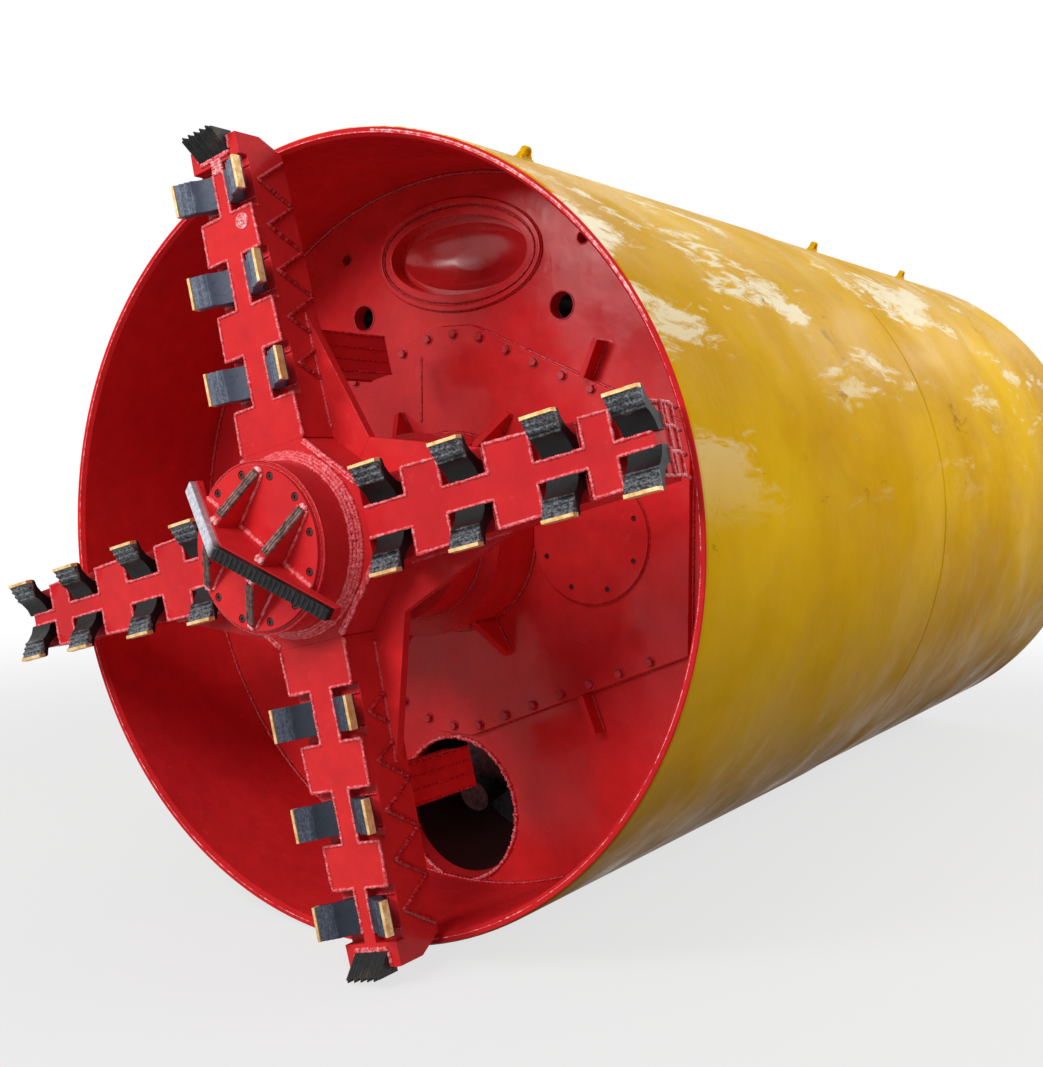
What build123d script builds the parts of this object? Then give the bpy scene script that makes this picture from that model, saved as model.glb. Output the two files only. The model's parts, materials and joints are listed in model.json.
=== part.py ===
from build123d import *
from math import cos, radians, sin, sqrt, tan
import os

# Front end of a pipe-jacking tunnelling shield: a four-spoke cutterhead on its drive, the front shield
# with its bulkhead and screw conveyor, and the rear shield that four cylinders steer.
# The machine's axis lies along Y, the head faces -Y, +Z is up, and the shield rests on Z = 0.

# Driving dimensions, in millimetres and degrees

shield_radius = 1250.0
shell_wall = 30.0
shield_length = 4540.0
front_length = 2025.0
seam_gap = 30.0
rear_step = 5.0
tail_length = 150.0
tail_rebate = 5.0
nose_reach = 525.0
rim_chamfer = 6.0
rim_bevel = 10.0
rim_inner_chamfer = 8.0
rim_inner_bevel = 14.0
rear_rim_chamfer = 4.0
rear_rim_bevel = 6.0
trim = 30.0  # spare length on a blank that its trimming cut takes off

# Cutterhead, heights measured forward from the shield's rim
head_turn = 14.5
spoke_front = 212.0
spoke_back = 25.0
spoke_root_half = 128.0
spoke_tip_half = 98.0
spoke_relief_height = 110.0
spoke_relief = 45.0
gusset_height = 50.0
gusset_plate = 30.0
gusset_reach = 690.0
gusset_spread = 262.0

hub_flat = 296.0
hub_ring_radius = 322.0
hub_ring_rise = 22.0
hub_face_radius = 250.0
hub_face_height = 345.0
hub_cover_plate = 15.0
hub_cover_radius = 238.0
hub_bolt_circle = 215.0
hub_bolt_count = 12
hub_bolt_radius = 13.0

# Scrapers
scraper_width = 100.0
scraper_overhang = 35.0
scraper_bite = 116.0
scraper_rise = 70.0
pocket_length = 160.0
pocket_depth = 32.0
tip_wall = 12.0
scraper_toe = 42.0
tip_height = 26.0
tip_step = 4.0
tip_margin = 34.0
gauge_gap = 54.0

# Places of the scraper pairs, as shares of the way from the hub's flat to the outermost pair
LEVEL_SPOKE_PAIRS = (0.089, 0.4, 0.73, 1.0)
UPRIGHT_SPOKE_PAIRS = (0.27, 0.64, 1.0)

# Gauge cutters
gauge_proud = 15.0
gauge_width = 125.0
gauge_depth = 65.0
gauge_front = 275.0
gauge_back = 188.0
gauge_bevel = 6.0
gauge_bevel_drop = 5.0
gauge_root_drop = 58.0
gauge_groove = 8.0
gauge_groove_reach = 60.0
gauge_tooth_count = 5

# Fishtail bit
fishtail_turn = head_turn - 45.0
fishtail_half = 337.0
fishtail_corner = 387.0
fishtail_wall = 42.0
fishtail_edge = 26.0
fishtail_heel = 330.0
fishtail_edge_setin = 4.0
wing_place = 112.0
wing_wall = 30.0
wing_reach = 225.0
wing_height = 412.0
wing_end_height = 385.0

# Mixing bars
bar_width = 125.0
bar_wall = 90.0
bar_reach = 370.0
UPPER_BAR_RADIUS = 600.0
LOWER_BAR_RADIUS = 775.0

# Drive
seal_radius = 231.0
seal_end = 244.0
shaft_radius = 150.0
shaft_end = 600.0
shaft_clearance = 0.05
shaft_hole_gap = 10.0
drum_front = 250.0
drum_step = 375.0
drum_nose_radius = 275.0
drum_radius = 337.0
DRUM_GUSSET_TURNS = (60.0, 120.0, 240.0, 300.0)
drum_gusset_wall = 24.0
drum_gusset_height = 130.0
drum_gusset_toe = 20.0
drum_gusset_bite = 10.0

# Bulkhead
bulkhead_front = 612.0
bulkhead_plate = 50.0
port_x = 419.0
port_drop = 193.0
port_radius = 44.0
small_port_x = 498.0
small_port_rise = 18.0
small_port_radius = 19.0
manhole_margin = 88.0
manhole_half_width = 342.0
manhole_half_height = 190.0
manhole_land = 56.0
manhole_lip = 18.0
manhole_step = 30.0
manhole_frame_rise = 14.0
door_plate = 30.0
door_gap = 0.3
door_margin = 20.0
dish_depth = 60.0
dish_wall = 14.0
door_arm_start = 40.0
door_arm_end = 90.0
door_arm_bite = 8.0
door_arm_rise = 10.0
hinge_setout = 30.0
hinge_rise = 58.0
hinge_pin_radius = 14.0
hinge_pin_gap = 0.08
hinge_knuckle_radius = 28.0
hinge_arm_half = 40.0
hinge_lug_wall = 18.0
hinge_side_gap = 0.5

panel_plate = 26.0
panel_flat_half = 75.0
panel_margin = 52.0
panel_slope = 0.42
panel_half_width = 900.0
panel_rib_wall = 20.0
panel_rib_length = 130.0
panel_rib_rise = 60.0
panel_rib_place = 530.0
panel_rib_gap = 2.0
cover_x = 551.0
cover_radius = 212.0
cover_plate = 14.0
cover_bolt_circle = 175.0
cover_bolt_radius = 9.0
cover_bolt_count = 8

# Gear case and motors behind the bulkhead
gear_clearance = 110.0
gear_lobe_radius = 240.0
gear_depth = 400.0
gear_flange_rise = 22.0
gear_flange_plate = 60.0
motor_flange_radius = 205.0
motor_flange_plate = 40.0
motor_body_radius = 165.0
motor_body_length = 420.0
motor_cap_radius = 120.0
motor_cap_length = 110.0
motor_fin_count = 24
motor_fin_wall = 7.0
motor_fin_height = 20.0
motor_fin_end = 35.0
motor_box_width = 170.0
motor_box_rise = 110.0
motor_box_length = 210.0
motor_box_place = 70.0
motor_box_bite = 40.0

# Screw conveyor
screw_margin = 13.0
screw_slope = 15.0
screw_bore = 238.0
screw_wall = 12.0
screw_length = 3300.0
screw_cut = 150.0
screw_end_gap = 5.0
screw_shaft_radius = 60.0
screw_setback = 45.0
flight_radius = 228.0
flight_wall = 22.0
flight_pitch = 400.0
flight_turns = 2
screw_drive_radius = 300.0
screw_drive_length = 230.0
screw_motor_radius = 130.0
screw_motor_length = 330.0
screw_stage_radius = 200.0
screw_stage_length = 70.0
chute_place = 2950.0
chute_width = 360.0
chute_length = 420.0
chute_wall = 14.0
chute_drop = 120.0
gate_plate = 18.0
gate_gap = 0.3
gate_travel = 380.0
gate_guide = 34.0
gate_bar = 20.0
gate_rail_rise = 40.0

# Steering joint: pins and cylinders stand in the middle of the seam
ring_clearance = 25.0
ring_wall = 36.0
ring_width = 380.0
pin_radius = 45.0
pin_gap = 0.08
pin_proud = 8.0
pin_bite = 1.0
pin_arm_wall = 60.0
pin_arm_width = 200.0
pin_arm_clearance = 12.0
pin_arm_end = 100.0
pin_foot_length = 240.0
pin_foot_clearance = 48.0
cylinder_clearance = 80.0
cylinder_turn = 45.0
barrel_radius = 72.0
barrel_length = 640.0
barrel_clearance = 0.05
barrel_room = 60.0
barrel_saddle_wall = 50.0
barrel_saddle_width = 200.0
barrel_saddle_place = 260.0
rod_radius = 38.0
rod_reach = 150.0
rod_inside = 420.0
rod_eye_radius = 62.0
rod_eye_wall = 60.0
rod_eye_weld = 6.0
clevis_wall = 34.0
clevis_gap = 6.0
clevis_pin_radius = 30.0
rod_eye_play = 12.0
clevis_half = 50.0
clevis_foot_place = 250.0
clevis_foot_length = 150.0

# Ribs inside the shells
rib_height = 90.0
rib_wall = 24.0
front_rib_clearance = 118.0
rib_from_seam = 405.0
rib_from_tail = 340.0

# Rear shield's floor and what stands on it
deck_rise = 435.0
deck_plate = 12.0
deck_beam_x = 500.0
deck_beam_wall = 30.0
deck_beam_drop = 120.0
cabinet_margin = 120.0
cabinet_width = 400.0
cabinet_height = 720.0
cabinet_wall = 4.0
cabinet_length = 640.0
cabinet_setback = 485.0
cabinet_chamfer = 12.0
tank_height = 520.0
tank_wall = 6.0
leaf_margin = 32.0
leaf_gap = 10.0
leaf_plate = 6.0
latch_width = 24.0
latch_height = 130.0
latch_rise = 22.0
latch_inset = 34.0
filler_radius = 48.0
filler_rise = 62.0
filler_place = 190.0
filter_radius = 74.0
filter_rise = 96.0
hatch_radius = 130.0
hatch_plate = 14.0

# Lifting eyes on top of the shields
pad_plate = 22.0
pad_height = 40.0
pad_length = 72.0
pad_hole = 11.0
pad_turn = 20.0
pad_from_rim = 375.0
pad_from_seam = 645.0
pad_from_tail = 640.0

# Places worked out from the driving dimensions

AXIS_Z = shield_radius
RIM_Y = (nose_reach - shield_length) / 2
shell_bore = shield_radius - shell_wall
rear_radius = shield_radius - rear_step
rear_bore = rear_radius - shell_wall
rear_start = front_length + seam_gap
pivot_y = front_length + seam_gap / 2
tail_start = shield_length - tail_length
bulkhead_back = bulkhead_front + bulkhead_plate
gear_back = bulkhead_back + gear_depth
panel_front = bulkhead_front - panel_plate

spoke_reach = shield_radius
gauge_radius = spoke_reach + gauge_proud

manhole_z = shell_bore - manhole_margin - manhole_half_height
port_z = manhole_z - port_drop
small_port_z = manhole_z + small_port_rise
hinge_x = -manhole_half_width - hinge_setout
hinge_back = bulkhead_back + hinge_rise
panel_crest = manhole_z - manhole_half_height - panel_margin

screw_z = screw_bore + screw_margin - shell_bore
casing_radius = screw_bore + screw_wall
casing_rise = (gear_back - bulkhead_front) * tan(radians(screw_slope))
casing_top = screw_z + casing_rise + casing_radius / cos(radians(screw_slope))
gear_radius = -casing_top - gear_clearance

ring_radius = rear_bore - ring_clearance
ring_bore = ring_radius - ring_wall
ring_front = pivot_y - ring_width / 2
ring_back = pivot_y + ring_width / 2
arm_outer = ring_bore - pin_arm_clearance
arm_inner = arm_outer - pin_arm_wall
pin_foot = ring_front - pin_foot_clearance - pin_foot_length
cylinder_place = arm_inner - cylinder_clearance - barrel_radius

FRONT_RIB_PLACES = (pin_foot - front_rib_clearance - rib_wall,)
REAR_RIB_PLACES = (rear_start + rib_from_seam, shield_length - rib_from_tail)
FRONT_PAD_PLACES = (pad_from_rim,)
REAR_PAD_PLACES = (rear_start + pad_from_seam, shield_length - pad_from_tail)

deck_z = deck_rise - rear_bore
deck_low = deck_z - deck_plate
deck_half = sqrt(rear_bore ** 2 - deck_low ** 2)
cabinet_x = deck_half - cabinet_margin - cabinet_width / 2
cabinet_start = rear_start + cabinet_setback

MACHINE_AXIS = Axis((0, RIM_Y, AXIS_Z), (0, 1, 0))
AXIAL = Plane(origin=(0, RIM_Y, AXIS_Z), x_dir=(0, 1, 0), z_dir=(1, 0, 0))


def facing(station, turn=0.0, x=0.0, z=0.0):
    """A plane across the machine that looks forward: its X is turned up from the right, in degrees."""
    return Plane(
        origin=(x, RIM_Y + station, AXIS_Z + z),
        x_dir=(cos(radians(turn)), 0, sin(radians(turn))),
        z_dir=(0, -1, 0),
    )


def side_on(turn=0.0, offset=0.0):
    """A plane along the machine's axis: its X runs out along the turned radius and its Y forward."""
    lateral = (-sin(radians(turn)), 0, cos(radians(turn)))
    return Plane(
        origin=(offset * lateral[0], RIM_Y, AXIS_Z + offset * lateral[2]),
        x_dir=(cos(radians(turn)), 0, sin(radians(turn))),
        z_dir=(-lateral[0], 0, -lateral[2]),
    )


def across(turn, radius):
    """A plane square to a spoke at a radius: its X runs across the spoke and its Y forward."""
    return Plane(
        origin=(radius * cos(radians(turn)), RIM_Y, AXIS_Z + radius * sin(radians(turn))),
        x_dir=(-sin(radians(turn)), 0, cos(radians(turn))),
        z_dir=(cos(radians(turn)), 0, sin(radians(turn))),
    )


def turned(corners, mode=Mode.ADD):
    """Turns an outline of (station, radius) corners about the machine's axis."""
    with BuildSketch(AXIAL) as outline:
        with BuildLine():
            Polyline(*corners, close=True)
        make_face()
    revolve(outline.sketch, axis=MACHINE_AXIS, mode=mode)


def prism(plane, corners, amount, both=False, mode=Mode.ADD):
    """Extrudes an outline of corners drawn on a plane."""
    with BuildSketch(plane) as outline:
        with BuildLine():
            Polyline(*corners, close=True)
        make_face()
    extrude(outline.sketch, amount=amount, both=both, mode=mode)


def disc(plane, radius, amount, mode=Mode.ADD):
    """Extrudes a circle drawn on a plane."""
    with BuildSketch(plane) as outline:
        Circle(radius)
    extrude(outline.sketch, amount=amount, mode=mode)


def finish(builder, name):
    """Labels a finished piece and writes it out."""
    builder.part.label = name
    export_step(builder.part, f"parts/{name}.step")


os.makedirs("parts", exist_ok=True)


# Cutterhead

def spoke_half(radius):
    """Half the spoke's width at a radius: it narrows evenly from the hub to the tip."""
    share = (radius - hub_flat) / (spoke_reach - hub_flat)
    return spoke_root_half + (spoke_tip_half - spoke_root_half) * share


def pocket_inner(radius):
    """Where a scraper's pocket ends towards the spoke's middle."""
    return spoke_half(radius) + scraper_overhang - scraper_bite


def spoke_turn(index):
    return head_turn + 90.0 * index


def pair_radii(index):
    """The radii at which a spoke carries its pairs of scrapers."""
    if index % 2:
        shares = UPRIGHT_SPOKE_PAIRS
        outermost = gauge_radius - gauge_depth - gauge_gap - scraper_width / 2
    else:
        shares = LEVEL_SPOKE_PAIRS
        outermost = spoke_reach - tip_margin
    return [hub_flat + share * (outermost - hub_flat) for share in shares]


with BuildPart() as hub:
    with BuildSketch(facing(-spoke_back, head_turn)):
        RegularPolygon(hub_flat, 8, major_radius=False, rotation=22.5)
    extrude(amount=spoke_front - spoke_back)
    turned([
        (-spoke_front, 0),
        (-spoke_front, hub_ring_radius),
        (-spoke_front - hub_ring_rise, hub_ring_radius),
        (-hub_face_height, hub_face_radius),
        (-hub_face_height, 0),
    ])
finish(hub, "hub")

with BuildPart() as hub_cover:
    disc(facing(-hub_face_height), hub_cover_radius, hub_cover_plate)
    with BuildSketch(facing(-hub_face_height - hub_cover_plate, fishtail_turn)):
        with PolarLocations(hub_bolt_circle, hub_bolt_count, start_angle=15):
            Circle(hub_bolt_radius)
    extrude(amount=-hub_cover_plate / 2, mode=Mode.SUBTRACT)
finish(hub_cover, "hub_cover")

for index in range(4):
    turn = spoke_turn(index)
    with BuildPart() as spoke:
        prism(
            facing(-spoke_back, turn),
            [
                (hub_flat, -spoke_root_half),
                (spoke_reach + trim, -spoke_half(spoke_reach + trim)),
                (spoke_reach + trim, spoke_half(spoke_reach + trim)),
                (hub_flat, spoke_root_half),
            ],
            spoke_front - spoke_back,
        )
        gusset_foot = hub_flat * cos(radians(45))
        prism(
            facing(-gusset_height, turn),
            [
                (gusset_foot, -gusset_foot),
                (gusset_spread, -gusset_spread),
                (gusset_reach, -spoke_half(gusset_reach)),
                (gusset_reach, spoke_half(gusset_reach)),
                (gusset_spread, gusset_spread),
                (gusset_foot, gusset_foot),
                (hub_flat, hub_flat * tan(radians(22.5))),
                (hub_flat, -hub_flat * tan(radians(22.5))),
            ],
            gusset_plate,
        )
        for radius in pair_radii(index):
            for side in (-1, 1):
                with BuildSketch(facing(-spoke_front, turn)) as pocket:
                    with Locations((radius, side * (pocket_inner(radius) + spoke_root_half))):
                        Rectangle(pocket_length, 2 * spoke_root_half)
                extrude(pocket.sketch, amount=-pocket_depth, mode=Mode.SUBTRACT)
        turned(
            [
                (-spoke_back + trim, spoke_reach - spoke_relief),
                (-spoke_back, spoke_reach - spoke_relief),
                (-spoke_relief_height, spoke_reach),
                (-spoke_front - trim, spoke_reach),
                (-spoke_front - trim, spoke_reach + 3 * trim),
                (-spoke_back + trim, spoke_reach + 3 * trim),
            ],
            mode=Mode.SUBTRACT,
        )
    finish(spoke, f"spoke_{index + 1}")

# A scraper's section, as (distance in from its cutting edge, height over the spoke's plate)
SCRAPER_SECTION = (
    (0.0, scraper_rise - tip_height),
    (tip_wall, scraper_rise - tip_height),
    (tip_wall, scraper_rise - tip_step),
    (22.0, 58.0),
    (28.0, 62.0),
    (38.0, 50.0),
    (44.0, 54.0),
    (54.0, 42.0),
    (60.0, 46.0),
    (70.0, 30.0),
    (92.0, 12.0),
    (scraper_bite, 2.0),
    (scraper_bite, -pocket_depth),
    (scraper_bite - scraper_toe, -pocket_depth),
    (66.0, -10.0),
    (48.0, 12.0),
    (26.0, 28.0),
    (4.0, 34.0),
)

# The hard edge's section, measured the same way
TIP_SECTION = (
    (0.0, scraper_rise - tip_height),
    (tip_wall, scraper_rise - tip_height),
    (tip_wall, scraper_rise),
    (2.0, scraper_rise),
)


def scraper_row(index, section):
    """Extrudes a section at each scraper of a spoke, one on each side."""
    for radius in pair_radii(index):
        edge = spoke_half(radius) + scraper_overhang
        for side in (-1, 1):
            corners = [(side * (edge - inset), spoke_front + rise) for inset, rise in section]
            prism(across(spoke_turn(index), radius), corners, scraper_width / 2, both=True)


for index in range(4):
    with BuildPart() as scrapers:
        scraper_row(index, SCRAPER_SECTION)
    finish(scrapers, f"scrapers_{index + 1}")
    with BuildPart() as scraper_tips:
        scraper_row(index, TIP_SECTION)
    finish(scraper_tips, f"scraper_tips_{index + 1}")

with BuildPart() as gauge_cutters:
    for index in (1, 3):
        turn = spoke_turn(index)
        inner = gauge_radius - gauge_depth
        prism(
            side_on(turn),
            [
                (inner, spoke_front),
                (spoke_reach, spoke_front),
                (spoke_reach, gauge_back),
                (gauge_radius, gauge_back),
                (gauge_radius, gauge_front - gauge_bevel_drop),
                (gauge_radius - gauge_bevel, gauge_front),
                (inner, gauge_front - gauge_root_drop),
            ],
            gauge_width / 2,
            both=True,
        )
        tooth_step = gauge_width / gauge_tooth_count
        for tooth in range(1, gauge_tooth_count):
            place = tooth * tooth_step - gauge_width / 2
            with BuildSketch(across(turn, gauge_radius)) as slot:
                with Locations((place, gauge_front - gauge_groove_reach / 2)):
                    Rectangle(gauge_groove, gauge_groove_reach)
            extrude(slot.sketch, amount=-gauge_groove, mode=Mode.SUBTRACT)
finish(gauge_cutters, "gauge_cutters")

hub_top = hub_face_height + hub_cover_plate


def blade_outline(lift):
    """The main blade's outline from the hub's cover up, with its edge moved by a lift."""
    return [
        (-hub_cover_radius, hub_top),
        (-fishtail_half, fishtail_heel),
        (-fishtail_half, fishtail_corner + lift),
        (0, nose_reach + lift),
        (fishtail_half, fishtail_corner + lift),
        (fishtail_half, fishtail_heel),
        (hub_cover_radius, hub_top),
    ]


with BuildPart() as fishtail:
    prism(side_on(fishtail_turn), blade_outline(-fishtail_edge), fishtail_wall / 2, both=True)
    for place in (-wing_place, wing_place):
        for side in (-1, 1):
            prism(
                across(fishtail_turn, place),
                [
                    (0, hub_top),
                    (side * wing_reach, hub_top),
                    (side * wing_reach, wing_end_height - fishtail_edge),
                    (side * wing_reach, wing_end_height),
                    (0, wing_height),
                ],
                wing_wall / 2,
                both=True,
            )
finish(fishtail, "fishtail")

with BuildPart() as fishtail_edges:
    prism(
        side_on(fishtail_turn),
        [
            (-fishtail_half, fishtail_corner - fishtail_edge),
            (0, nose_reach - fishtail_edge),
            (fishtail_half, fishtail_corner - fishtail_edge),
            (fishtail_half, fishtail_corner),
            (0, nose_reach),
            (-fishtail_half, fishtail_corner),
        ],
        fishtail_wall / 2 - fishtail_edge_setin,
        both=True,
    )
finish(fishtail_edges, "fishtail_edges")

with BuildPart() as mixing_bars:
    for index, radius in ((1, UPPER_BAR_RADIUS), (3, LOWER_BAR_RADIUS)):
        with BuildSketch(facing(-spoke_back, spoke_turn(index))) as bar:
            with Locations((radius, 0)):
                Rectangle(bar_width, bar_wall)
        extrude(bar.sketch, amount=-bar_reach - spoke_back)
finish(mixing_bars, "mixing_bars")

with BuildPart() as main_shaft:
    turned([
        (-spoke_back, 0),
        (-spoke_back, seal_radius),
        (seal_end, seal_radius),
        (seal_end, shaft_radius),
        (shaft_end, shaft_radius),
        (shaft_end, 0),
    ])
finish(main_shaft, "main_shaft")

# Front shield

with BuildPart() as front_shell:
    turned([
        (0, shell_bore + rim_inner_chamfer),
        (0, shield_radius - rim_chamfer),
        (rim_bevel, shield_radius),
        (front_length, shield_radius),
        (front_length, shell_bore),
        (rim_inner_bevel, shell_bore),
    ])
finish(front_shell, "front_shell")


def ring_ribs(builder_name, places, bore, rib_plate):
    """Flat ring ribs inside a shell, as one node."""
    with BuildPart() as ribs:
        for place in places:
            turned([
                (place, bore),
                (place + rib_plate, bore),
                (place + rib_plate, bore - rib_height),
                (place, bore - rib_height),
            ])
    finish(ribs, builder_name)


ring_ribs("front_ribs", FRONT_RIB_PLACES, shell_bore, rib_wall)

screw_center = Vector(0, RIM_Y + bulkhead_front, AXIS_Z + screw_z)
screw_dir = Vector(0, cos(radians(screw_slope)), sin(radians(screw_slope)))


def screw_section(distance):
    """A plane across the screw at a distance along it, looking up the screw."""
    return Plane(origin=screw_center + screw_dir * distance, x_dir=(1, 0, 0), z_dir=screw_dir)


def panel_edge(x):
    """The middle panel's half height at a place across the bulkhead."""
    return panel_crest - panel_slope * max(abs(x) - panel_flat_half, 0)


with BuildPart() as bulkhead:
    disc(facing(bulkhead_back), shell_bore, bulkhead_plate)
    disc(facing(bulkhead_back), shaft_radius + shaft_hole_gap, bulkhead_plate, mode=Mode.SUBTRACT)
    with BuildSketch(facing(bulkhead_back)) as holes:
        with Locations((-port_x, port_z), (port_x, port_z)):
            Circle(port_radius)
        with Locations((-small_port_x, small_port_z), (small_port_x, small_port_z)):
            Circle(small_port_radius)
        with Locations((0, manhole_z)):
            Ellipse(manhole_half_width - manhole_land, manhole_half_height - manhole_land)
    extrude(holes.sketch, amount=bulkhead_plate, mode=Mode.SUBTRACT)
    disc(screw_section(-screw_cut), screw_bore, 2 * screw_cut, mode=Mode.SUBTRACT)
finish(bulkhead, "bulkhead")

with BuildPart() as bulkhead_fins:
    rib_lean = Vector(panel_slope, 1).normalized()
    rib_across = Vector(1, -panel_slope).normalized() * panel_rib_wall / 2
    rib_foot = Vector(panel_rib_place, panel_edge(panel_rib_place) + panel_rib_gap)
    rib_head = rib_foot + rib_lean * panel_rib_length
    for across_sign in (-1, 1):
        for up_sign in (-1, 1):
            rib_corners = (
                rib_foot - rib_across,
                rib_foot + rib_across,
                rib_head + rib_across,
                rib_head - rib_across,
            )
            prism(
                facing(bulkhead_front),
                [(across_sign * corner.X, up_sign * corner.Y) for corner in rib_corners],
                panel_rib_rise,
            )
finish(bulkhead_fins, "bulkhead_fins")

with BuildPart() as manhole_frame:
    with BuildSketch(facing(bulkhead_front, z=manhole_z)) as frame_ring:
        Ellipse(manhole_half_width, manhole_half_height)
        Ellipse(manhole_half_width - manhole_lip, manhole_half_height - manhole_lip, mode=Mode.SUBTRACT)
    extrude(frame_ring.sketch, amount=manhole_frame_rise)
    with BuildSketch(facing(bulkhead_front, z=manhole_z)) as inner_ring:
        Ellipse(manhole_half_width - manhole_step, manhole_half_height - manhole_step)
        Ellipse(manhole_half_width - manhole_land, manhole_half_height - manhole_land, mode=Mode.SUBTRACT)
    extrude(inner_ring.sketch, amount=manhole_frame_rise / 2)
finish(manhole_frame, "manhole_frame")

hinge_side = hinge_arm_half + hinge_side_gap

with BuildPart() as manhole_hinge:
    for low in (-hinge_side - hinge_lug_wall, hinge_side):
        lug_plane = Plane.XY.offset(AXIS_Z + manhole_z + low)
        with BuildSketch(lug_plane) as lug:
            with BuildLine():
                Polyline(
                    (hinge_x - hinge_knuckle_radius, RIM_Y + bulkhead_back),
                    (hinge_x + hinge_knuckle_radius, RIM_Y + bulkhead_back),
                    (hinge_x + hinge_knuckle_radius, RIM_Y + hinge_back),
                    (hinge_x - hinge_knuckle_radius, RIM_Y + hinge_back),
                    close=True,
                )
            make_face()
            with Locations((hinge_x, RIM_Y + hinge_back)):
                Circle(hinge_knuckle_radius)
        extrude(lug.sketch, amount=hinge_lug_wall)
    with BuildSketch(Plane.XY.offset(AXIS_Z + manhole_z - hinge_side)) as pin:
        with Locations((hinge_x, RIM_Y + hinge_back)):
            Circle(hinge_pin_radius)
    extrude(pin.sketch, amount=2 * hinge_side)
finish(manhole_hinge, "manhole_hinge")

door_front = bulkhead_back + door_gap
door_half_width = manhole_half_width - door_margin
door_half_height = manhole_half_height - door_margin
dish_half_width = manhole_half_width - manhole_land - door_margin
dish_half_height = manhole_half_height - manhole_land - door_margin


# The dish's ovals, as (share of the rim's size, share of the depth)
DISH_STEPS = ((1.0, 0.0), (0.86, 0.42), (0.64, 0.76), (0.34, 1.0))


def dish(wall, depth, mode):
    """A dished oval, as a smooth loft from its rim through its steps to its crown."""
    ovals = []
    for share, fall in DISH_STEPS:
        with BuildSketch(facing(door_front + depth * fall, z=manhole_z)) as oval:
            Ellipse((dish_half_width + wall) * share, (dish_half_height + wall) * share)
        ovals.append(oval.sketch)
    loft(ovals, mode=mode)


with BuildPart() as manhole_door:
    with BuildSketch(facing(door_front + door_plate, z=manhole_z)) as plate:
        Ellipse(door_half_width, door_half_height)
    extrude(plate.sketch, amount=door_plate)
    dish(dish_wall, dish_depth + dish_wall, Mode.ADD)
    dish(0, dish_depth, Mode.SUBTRACT)
    with BuildSketch(Plane.XY.offset(AXIS_Z + manhole_z - hinge_arm_half)) as arm:
        with BuildLine():
            Polyline(
                (hinge_x, RIM_Y + hinge_back + hinge_knuckle_radius),
                (hinge_x, RIM_Y + hinge_back - hinge_knuckle_radius),
                (-door_half_width + door_arm_start, RIM_Y + door_front + door_plate - door_arm_bite),
                (-door_half_width + door_arm_end, RIM_Y + door_front + door_plate - door_arm_bite),
                (-door_half_width + door_arm_end, RIM_Y + door_front + door_plate + door_arm_rise),
                close=True,
            )
        make_face()
        with Locations((hinge_x, RIM_Y + hinge_back)):
            Circle(hinge_knuckle_radius)
            Circle(hinge_pin_radius + hinge_pin_gap, mode=Mode.SUBTRACT)
    extrude(arm.sketch, amount=2 * hinge_arm_half)
finish(manhole_door, "manhole_door")

with BuildPart() as center_panel:
    corners = (
        (-panel_half_width, -panel_edge(panel_half_width)),
        (-panel_flat_half, -panel_crest),
        (panel_flat_half, -panel_crest),
        (panel_half_width, -panel_edge(panel_half_width)),
        (panel_half_width, panel_edge(panel_half_width)),
        (panel_flat_half, panel_crest),
        (-panel_flat_half, panel_crest),
        (-panel_half_width, panel_edge(panel_half_width)),
    )
    prism(facing(bulkhead_front), corners, panel_plate)
    disc(facing(bulkhead_front), shaft_radius + shaft_hole_gap, panel_plate, mode=Mode.SUBTRACT)
finish(center_panel, "center_panel")

with BuildPart() as drive_covers:
    for x in (-cover_x, cover_x):
        disc(facing(panel_front, x=x), cover_radius, cover_plate)
        with BuildSketch(facing(panel_front - cover_plate, x=x)) as sinks:
            with PolarLocations(cover_bolt_circle, cover_bolt_count, start_angle=22.5):
                Circle(cover_bolt_radius)
        extrude(sinks.sketch, amount=-cover_plate / 2, mode=Mode.SUBTRACT)
finish(drive_covers, "drive_covers")

with BuildPart() as drive_housing:
    bore = shaft_radius + shaft_clearance
    turned([
        (drum_front, bore),
        (drum_front, drum_nose_radius),
        (drum_step, drum_nose_radius),
        (drum_step, drum_radius),
        (panel_front, drum_radius),
        (panel_front, bore),
    ])
    for turn in DRUM_GUSSET_TURNS:
        prism(
            side_on(turn),
            [
                (drum_radius - drum_gusset_bite, -panel_front),
                (drum_radius + drum_gusset_height, -panel_front),
                (drum_radius + drum_gusset_height, -panel_front + drum_gusset_toe),
                (drum_radius - drum_gusset_bite, -panel_front + drum_gusset_height),
            ],
            drum_gusset_wall / 2,
            both=True,
        )
finish(drive_housing, "drive_housing")

with BuildPart() as gear_case:
    with BuildSketch(facing(gear_back)) as case:
        Circle(gear_radius)
        SlotCenterToCenter(2 * cover_x, 2 * gear_lobe_radius)
    extrude(case.sketch, amount=gear_depth)
    with BuildSketch(facing(gear_back - (gear_depth - gear_flange_plate) / 2)) as flange:
        Circle(gear_radius + gear_flange_rise)
        SlotCenterToCenter(2 * cover_x, 2 * (gear_lobe_radius + gear_flange_rise))
    extrude(flange.sketch, amount=gear_flange_plate)
finish(gear_case, "gear_case")

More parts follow.
